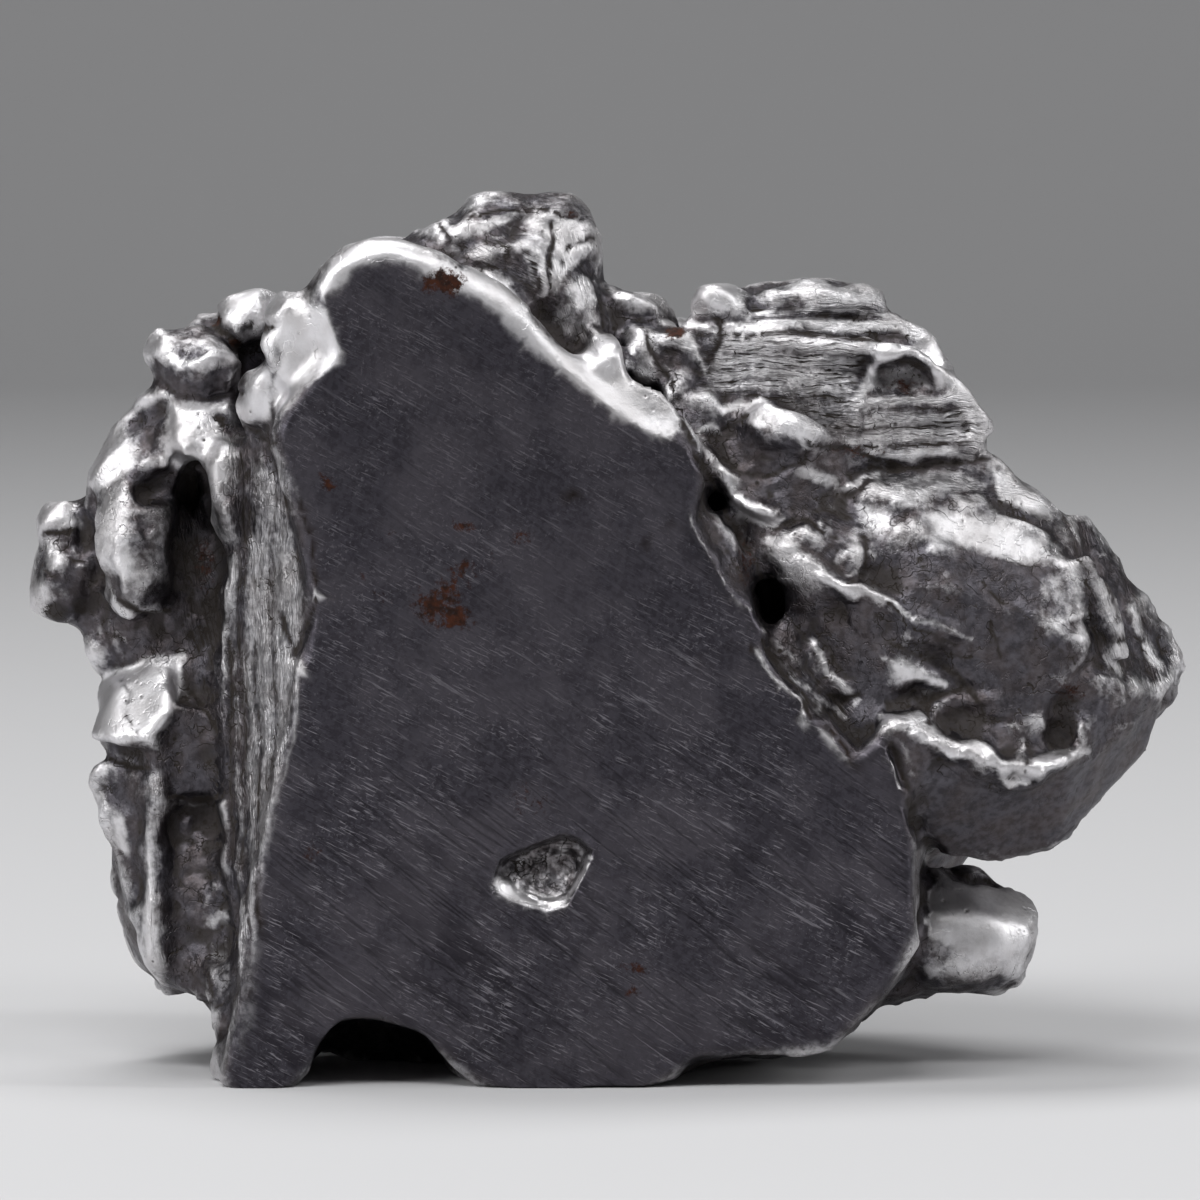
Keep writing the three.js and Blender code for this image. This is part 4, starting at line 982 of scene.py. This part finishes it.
def mix(share, first, second):
    """One colour Mix node."""
    takes = {0: share, 6: first, 7: second}
    return Value(add_node(share.tree, "ShaderNodeMix", takes, data_type="RGBA").outputs[2])


def noise(vector, scale, detail, rough=0.55, kind="FBM"):
    """One Noise Texture node. Plain noise is about 0.5 give or take 0.2."""
    takes = {"Vector": vector, "Scale": scale, "Detail": detail, "Roughness": rough}
    return Value(add_node(vector.tree, "ShaderNodeTexNoise", takes, noise_type=kind).outputs[0])


def apart(vector):
    """The three numbers of a vector."""
    return [Value(socket) for socket in add_node(vector.tree, "ShaderNodeSeparateXYZ", {0: vector}).outputs]


def joined(*numbers):
    """A vector of its first numbers."""
    return Value(add_node(numbers[0].tree, "ShaderNodeCombineXYZ", enumerate(numbers)).outputs[0])


def painted(tree, name, output="Fac"):
    """What the mesh stores at each point under a name."""
    return Value(add_node(tree, "ShaderNodeAttribute", attribute_name=name).outputs[output])


def new_group(name, **numbers):
    """Starts a node group with a Vector and numbers with these defaults as inputs, and gives them by name."""
    tree = bpy.data.node_groups.new(name, "ShaderNodeTree")
    tree.interface.new_socket("Vector", in_out="INPUT", socket_type="NodeSocketVector")
    for title, default in numbers.items():
        socket = tree.interface.new_socket(title, in_out="INPUT", socket_type="NodeSocketFloat")
        socket.default_value = default
    start = add_node(tree, "NodeGroupInput")
    return {title: Value(start.outputs[title]) for title in ("Vector", *numbers)}


def close_group(tree, **results):
    """Ends a node group with its named results, and gives it."""
    for title in results:
        tree.interface.new_socket(title, in_out="OUTPUT", socket_type="NodeSocketFloat")
    add_node(tree, "NodeGroupOutput", results)
    return tree


def use_group(group, vector, **numbers):
    """Places a node group, fills its inputs, and gives its results by name."""
    made = add_node(vector.tree, "ShaderNodeGroup", {"Vector": vector, **numbers}, node_tree=group)
    return {socket.name: Value(socket) for socket in made.outputs}


def scratch_group():
    """Short straight scratches on a face in the XZ plane: noise drawn out along one heading."""
    given = new_group("Scratches", Heading=0.5, Length=2.0, Spacing=0.15, Share=0.6)
    tree, length, share = given["Vector"].tree, given["Length"], given["Share"]
    takes = {"Vector": given["Vector"], "Angle": given["Heading"]}
    turned = add_node(tree, "ShaderNodeVectorRotate", takes, rotation_type="Y_AXIS")
    x, y, z = apart(Value(turned.outputs[0]))
    drawn = joined(x / length, y / length, z / given["Spacing"])
    return close_group(tree, Mask=span(noise(drawn, 1.0, 2.0), share, share + 0.1))


def fibre_group():
    """Long fibres side by side: ridged noise drawn out along the first axis of a fibre vector."""
    along, across, _depth = apart(new_group("Fibres")["Vector"])
    value = noise(joined(along * 0.16, across * 1.5), 1.0, 3.0, 0.6)
    height = span(sums("ABSOLUTE", value - 0.5), 0.0, 0.2, 1.0, 0.0)
    return close_group(value.tree, Height=height, Dark=span(value, 0.4, 0.48, 1.0, 0.0))


def hairline_group():
    """Thin wandering lines: where a noise passes close to its middle value, in patches."""
    given = new_group("Hairlines", Size=1.0, Width=0.02, Cover=0.5)
    vector, cover = given["Vector"], given["Cover"]
    finer = 1.0 / given["Size"]
    off = sums("ABSOLUTE", noise(vector, finer, 3.0, 0.5) - 0.5)
    gate = span(noise(vector, finer * 0.45, 1.0), cover, cover + 0.08)
    return close_group(vector.tree, Mask=span(off, 0.0, given["Width"], 1.0, 0.0) * gate)


def pinhole_group():
    """Small round pits: the cores of a scatter of cells, kept only in patches."""
    given = new_group("Pinholes", Size=0.4, Core=0.22)
    vector = given["Vector"]
    spots = add_node(vector.tree, "ShaderNodeTexVoronoi", {"Vector": vector, "Scale": 1.0 / given["Size"]})
    core = span(Value(spots.outputs["Distance"]), 0.0, given["Core"], 1.0, 0.0)
    return close_group(vector.tree, Mask=core * span(noise(vector, 0.8, 2.0), 0.5, 0.6))


def mottle_group():
    """Mottling at two scales: a patchy value and a fine height for bumps."""
    given = new_group("Mottle", Size=1.0)
    vector, finer = given["Vector"], 1.0 / given["Size"]
    patches = span(noise(vector, finer, 4.0, 0.6), 0.35, 0.65)
    return close_group(vector.tree, Patches=patches, Height=noise(vector, finer * 4.0, 3.0, 0.6))


def iron_material(settings):
    """Torn iron: bright where worn and where highlight is painted, dark in the dull places and where shade is
    painted, brown-black in the cracks, rust in spots.
    """
    made = bpy.data.materials.new("worn_iron")
    made.use_nodes = True
    tree = made.node_tree
    place = Value(add_node(tree, "ShaderNodeTexCoord").outputs["Object"])
    scaled = add_node(tree, "ShaderNodeVectorMath", {0: place, "Scale": MILLIMETRES}, operation="SCALE")
    vector = Value(scaled.outputs[0])
    ground, wear, soil, dull, rust, smooth, fibrous = (
        painted(tree, name) for name in ("ground", "wear", "soil", "dull", "rust", "smooth", "fibrous")
    )
    natural = 1.0 - ground
    mottle = mottle_group()
    clouds = use_group(mottle, vector, Size=1.4)["Patches"]
    fine = use_group(mottle, vector, Size=0.3)
    patches = fine["Patches"]
    # flaws of the natural skin
    lines = hairline_group()
    hairs = use_group(lines, vector, Size=1.1, Width=0.016, Cover=0.46)["Mask"]
    creases = use_group(lines, vector, Size=0.5, Width=0.02, Cover=0.46)["Mask"]
    holes = use_group(pinhole_group(), vector, Size=0.42, Core=0.3)["Mask"]
    fibres = use_group(fibre_group(), painted(tree, "fibre", "Vector"))
    flaws = most(hairs * span(wear, 0.3, 1.0, 1.0, 0.3), creases * span(smooth, 0.0, 0.8, 0.8, 0.0))
    flaws = most(flaws, holes) * span(dull, 0.75, 1.0, 1.0, 0.3) * natural
    flaws = most(flaws, fibres["Dark"] * fibrous)
    # natural skin: bright iron where worn and on painted highlights, dark iron where dull and on painted
    # shade
    worn_and_lit = span(wear + (patches * 0.22 - 0.11) - dull * 0.6, 0.1, 0.95)
    skin = mix(worn_and_lit, mix(patches, settings.deep_iron, settings.dark_iron), settings.bright_iron)
    skin = mix(clouds * 0.2, skin, settings.brown)
    # brown-black oxide in the cracks and hollows, and painted shade in the shallow hollows
    dirt_and_shade = span(flaws * 0.75 + (soil + patches * 0.2), 0.35, 1.0)
    skin = mix(dirt_and_shade, skin, settings.soil)
    # ground face
    strokes = scratch_group()
    short, slanted, steep, dents = (
        use_group(strokes, vector, Heading=heading, Length=length, Spacing=spacing, Share=share)["Mask"]
        for heading, length, spacing, share in STROKES
    )
    up = apart(vector)[2]
    lower = span(up, 7.0, 21.0, 1.0, 0.45)
    furrows = steep * span(up, 3.0, 14.0, 0.75, 0.1)
    cuts = sums("MULTIPLY", most(short, slanted), (clouds + 0.15) * lower, clamp=True)
    grain = span(noise(vector, 4.5, 3.0, 0.65), 0.42, 0.62, 0.0, 0.6)
    light = span(noise(vector, 7.0, 2.0, 0.7), 0.56, 0.7, 0.0, 0.55) * clouds
    face = mix(dents * lower, settings.ground_iron, settings.dented_iron)
    face = mix(grain, face, settings.dented_iron)
    face = mix(light, face, settings.scratched_iron)
    face = mix(furrows, face, settings.dented_iron)
    face = mix(cuts, face, settings.scratched_iron)
    face = mix(span(noise(vector, 0.35, 3.0, 0.6), 0.4, 0.65, 0.0, 0.55), face, settings.sheen)
    face = mix(soil, face, settings.soil)
    # rust
    rusty = span(rust * 1.1 + noise(vector, 4.5, 4.0, 0.75) * 2.4, 1.4, 2.0) * span(rust, 0.02, 0.2)
    colour = mix(rusty, mix(ground, skin, face), mix(patches, settings.rust, settings.rust_dark))
    # finish
    covered = most(dirt_and_shade * natural, rusty * 0.45)
    rough = span(worn_and_lit, 0.0, 1.0, 0.42, 0.46) * natural + span(cuts, 0.0, 1.0, 0.4, 0.5) * ground
    # relief too fine for the mesh, in millimetres
    height = fine["Height"] * span(ground, 0.0, 1.0, 0.022, 0.004)
    height += noise(vector, 0.9, 4.0, 0.6, "RIDGED_MULTIFRACTAL") * span(ground, 0.0, 1.0, 0.042, 0.0)
    height += noise(vector, 1.5, 2.0, 0.5) * span(ground, 0.0, 1.0, 0.055, 0.0)
    height = height * span(smooth, 0.0, 1.0, 1.0, 0.25) + fibres["Height"] * fibrous * 0.06
    height = height - flaws * 0.02 - furrows * ground * 0.04 - cuts * ground * 0.006
    bump = add_node(tree, "ShaderNodeBump", {"Distance": 1 / MILLIMETRES, "Strength": 1.0, "Height": height})
    surface = tree.nodes["Principled BSDF"].inputs
    fill(surface["Base Color"], colour)
    fill(surface["Metallic"], span(covered, 0.1, 1.0, 1.0, 0.15))
    fill(surface["Roughness"], rough + covered * 0.45)
    fill(surface["Normal"], Value(bump.outputs[0]))
    return made


# Settings


def number(name, description, default, unit="NONE"):
    """A number that a user may change."""
    return bpy.props.FloatProperty(name=name, description=description, default=default, unit=unit)


def tint(name, description, *default):
    """A colour that a user may change."""
    return bpy.props.FloatVectorProperty(name=name, description=description, default=default, subtype="COLOR")


class IronSettings(bpy.types.PropertyGroup):
    """Sizes and colours of the iron."""

    first_grid: number("First grid", "Grid that the solid is softened on, in drawing millimetres", 0.28)
    last_grid: number("Last grid", "Grid of the marked surface, in drawing millimetres", 0.13)
    relief: number("Relief", "Strength of dents, folds and pits", 1.0)
    triangles: bpy.props.IntProperty(
        name="Triangles", description="Most triangles in the mesh", default=186000
    )
    # bright iron is also the colour of painted highlights
    bright_iron: tint("Bright iron", "Worn metal", 0.82, 0.81, 0.83)
    # dark and deep iron are also the colours of painted shade
    dark_iron: tint("Dark iron", "Dull metal", 0.114, 0.109, 0.124)
    deep_iron: tint("Deep iron", "Darkest patches of the dull metal", 0.064, 0.06, 0.068)
    brown: tint("Brown film", "Thin film of oxide", 0.13, 0.09, 0.065)
    # the crack colour is also painted as shade in hollows
    soil: tint("Cracks", "Old oxide in the cracks", 0.02, 0.0145, 0.0115)
    ground_iron: tint("Ground face", "Metal of the ground face", 0.068, 0.064, 0.077)
    scratched_iron: tint("Scratches", "Metal in the face's scratches", 0.24, 0.23, 0.255)
    dented_iron: tint("Dark strokes", "Metal in the face's dark strokes", 0.033, 0.03, 0.037)
    sheen: tint("Sheen", "Lighter clouds on the face", 0.108, 0.1, 0.115)
    rust: tint("Rust", "Fresh rust", 0.06, 0.017, 0.007)
    rust_dark: tint("Dark rust", "Old rust", 0.018, 0.007, 0.004)


class StageSettings(bpy.types.PropertyGroup):
    """The floor and the lights."""

    floor: tint("Floor", "Colour of the floor and sweep", 0.6, 0.6, 0.61)
    top: number("Top light", "Power of the light overhead", 1.0, "POWER")
    left: number("Left light", "Power of the light at the left", 0.7, "POWER")
    right: number("Right light", "Power of the strip at the right", 0.5, "POWER")
    front: number("Front light", "Power of the light over the camera", 1.35, "POWER")
    upper: number("Upper light", "Power of the light high at the right", 0.32, "POWER")
    room: number("Room", "Brightness of the room around", 0.09)


# The stage, in metres

# Each light: place, width and height
LIGHTS = {
    "top": ((-0.05, 0.1, 0.45), 0.24, 0.16),
    "left": ((-0.37, -0.24, 0.2), 0.14, 0.24),
    "right": ((0.42, -0.06, 0.2), 0.06, 0.26),
    "front": ((-0.1, -0.3, 0.42), 0.3, 0.14),
    "upper": ((0.24, -0.24, 0.36), 0.2, 0.12),
}

# What the lights look at
MIDDLE = (0.0, 0.0, 0.015)

# The sweep: half its width, its front edge, where its wall stands and how high, and the bend between
SWEEP_SIDE = 2.0
SWEEP_FRONT = -1.6
SWEEP_BACK = 0.8
SWEEP_TOP = 1.6
SWEEP_BEND = 0.3

# The camera's focal length and the width of its sensor, in millimetres
LENS = 300
SENSOR = 36


def add_light(name, place, width, height, power):
    """A soft rectangular light that looks at the middle of the iron."""
    data = bpy.data.lights.new(name, "AREA")
    data.shape = "RECTANGLE"
    data.size = width
    data.size_y = height
    data.energy = power
    made = add_object(name, data)
    made.location = place
    made.rotation_euler = (Vector(MIDDLE) - Vector(place)).to_track_quat("-Z", "Y").to_euler()


def build_floor(colour):
    """The sweep: a profile of floor, quarter circle and wall, carried sideways."""
    turn = np.linspace(0, math.pi / 2, 17)
    back = SWEEP_BACK - SWEEP_BEND + SWEEP_BEND * np.sin(turn)
    back = np.concatenate([[SWEEP_FRONT], back, [SWEEP_BACK]])
    up = np.concatenate([[0.0], SWEEP_BEND - SWEEP_BEND * np.cos(turn), [SWEEP_TOP]])
    count = len(back)
    places = np.stack([np.repeat([-SWEEP_SIDE, SWEEP_SIDE], count), np.tile(back, 2), np.tile(up, 2)], axis=1)
    first = np.arange(count - 1)
    faces = np.stack([first, first + count, first + count + 1, first + 1], axis=1)
    mesh = bpy.data.meshes.new("floor")
    mesh.from_pydata(places.tolist(), [], faces.tolist())
    mesh.polygons.foreach_set("use_smooth", np.ones(len(faces), bool))
    made = bpy.data.materials.new("pale_floor")
    made.use_nodes = True
    surface = made.node_tree.nodes["Principled BSDF"].inputs
    fill(surface["Base Color"], colour)
    fill(surface["Roughness"], 0.8)
    mesh.materials.append(made)
    return add_object("floor", mesh)


def build_camera():
    """A long lens at the photograph's height and tilt."""
    data = bpy.data.cameras.new("camera")
    data.lens = LENS
    data.sensor_width = SENSOR
    data.clip_start = 0.01
    made = add_object("camera", data)
    reach = VIEW_FROM / MILLIMETRES
    rise = VIEW_Z / MILLIMETRES + reach * math.sin(VIEW_TILT)
    made.location = drawing_corner() + [VIEW_X / MILLIMETRES, -reach * math.cos(VIEW_TILT), rise]
    made.rotation_euler = (math.pi / 2 - VIEW_TILT, 0, 0)
    return made


# Operators


class METEORITE_OT_iron(bpy.types.Operator):
    """Builds the iron over its solid, with its material"""

    bl_idname = "meteorite.iron"
    bl_label = "Build the iron"

    def execute(self, context):
        """Makes, fits and paints the piece, gives it its material, hides the CAD part and hangs the piece on
        the root body.
        """
        settings = context.scene.meteorite_iron
        shape = build_iron(settings)
        fit_to_node(shape)
        paint(shape)
        shape.data.materials.append(iron_material(settings))
        shape.data.polygons.foreach_set("use_smooth", np.ones(len(shape.data.polygons), bool))
        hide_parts(NODE)
        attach(shape, "root")
        return {"FINISHED"}


class METEORITE_OT_stage(bpy.types.Operator):
    """Builds the pale floor, the soft lights and the camera"""

    bl_idname = "meteorite.stage"
    bl_label = "Build the stage"

    def execute(self, context):
        """Makes the sweep, the lights, the room and the camera."""
        settings = context.scene.meteorite_stage
        build_floor(settings.floor)
        for name, light in LIGHTS.items():
            add_light(name + "_light", *light, getattr(settings, name))
        world = bpy.data.worlds.new("room")
        world.use_nodes = True
        sky = world.node_tree.nodes["Background"].inputs
        fill(sky["Color"], (1, 1, 1))
        fill(sky["Strength"], settings.room)
        context.scene.world = world
        context.scene.camera = build_camera()
        context.scene.view_settings.view_transform = "Standard"
        return {"FINISHED"}


class METEORITE_PT_panel(bpy.types.Panel):
    """Lists the settings and the operators"""

    bl_idname = "METEORITE_PT_panel"
    bl_label = "Iron meteorite"
    bl_space_type = "VIEW_3D"
    bl_region_type = "UI"
    bl_category = "Meteorite"

    def draw(self, context):
        """One box of settings for each operator."""
        scene = context.scene
        for settings, operator in ((scene.meteorite_iron, "iron"), (scene.meteorite_stage, "stage")):
            box = self.layout.box()
            for name in settings.__annotations__:
                box.prop(settings, name)
            box.operator("meteorite." + operator)


CLASSES = (IronSettings, StageSettings, METEORITE_OT_iron, METEORITE_OT_stage, METEORITE_PT_panel)


def register():
    """Registers the classes and hangs the settings on the scene."""
    for each in CLASSES:
        bpy.utils.register_class(each)
    bpy.types.Scene.meteorite_iron = bpy.props.PointerProperty(type=IronSettings)
    bpy.types.Scene.meteorite_stage = bpy.props.PointerProperty(type=StageSettings)


def unregister():
    """Takes the settings off the scene and unregisters the classes."""
    del bpy.types.Scene.meteorite_stage
    del bpy.types.Scene.meteorite_iron
    for each in reversed(CLASSES):
        bpy.utils.unregister_class(each)


def main():
    """Builds the piece and the stage."""
    register()
    bpy.ops.meteorite.iron()
    bpy.ops.meteorite.stage()


if __name__ == "__main__":
    main()
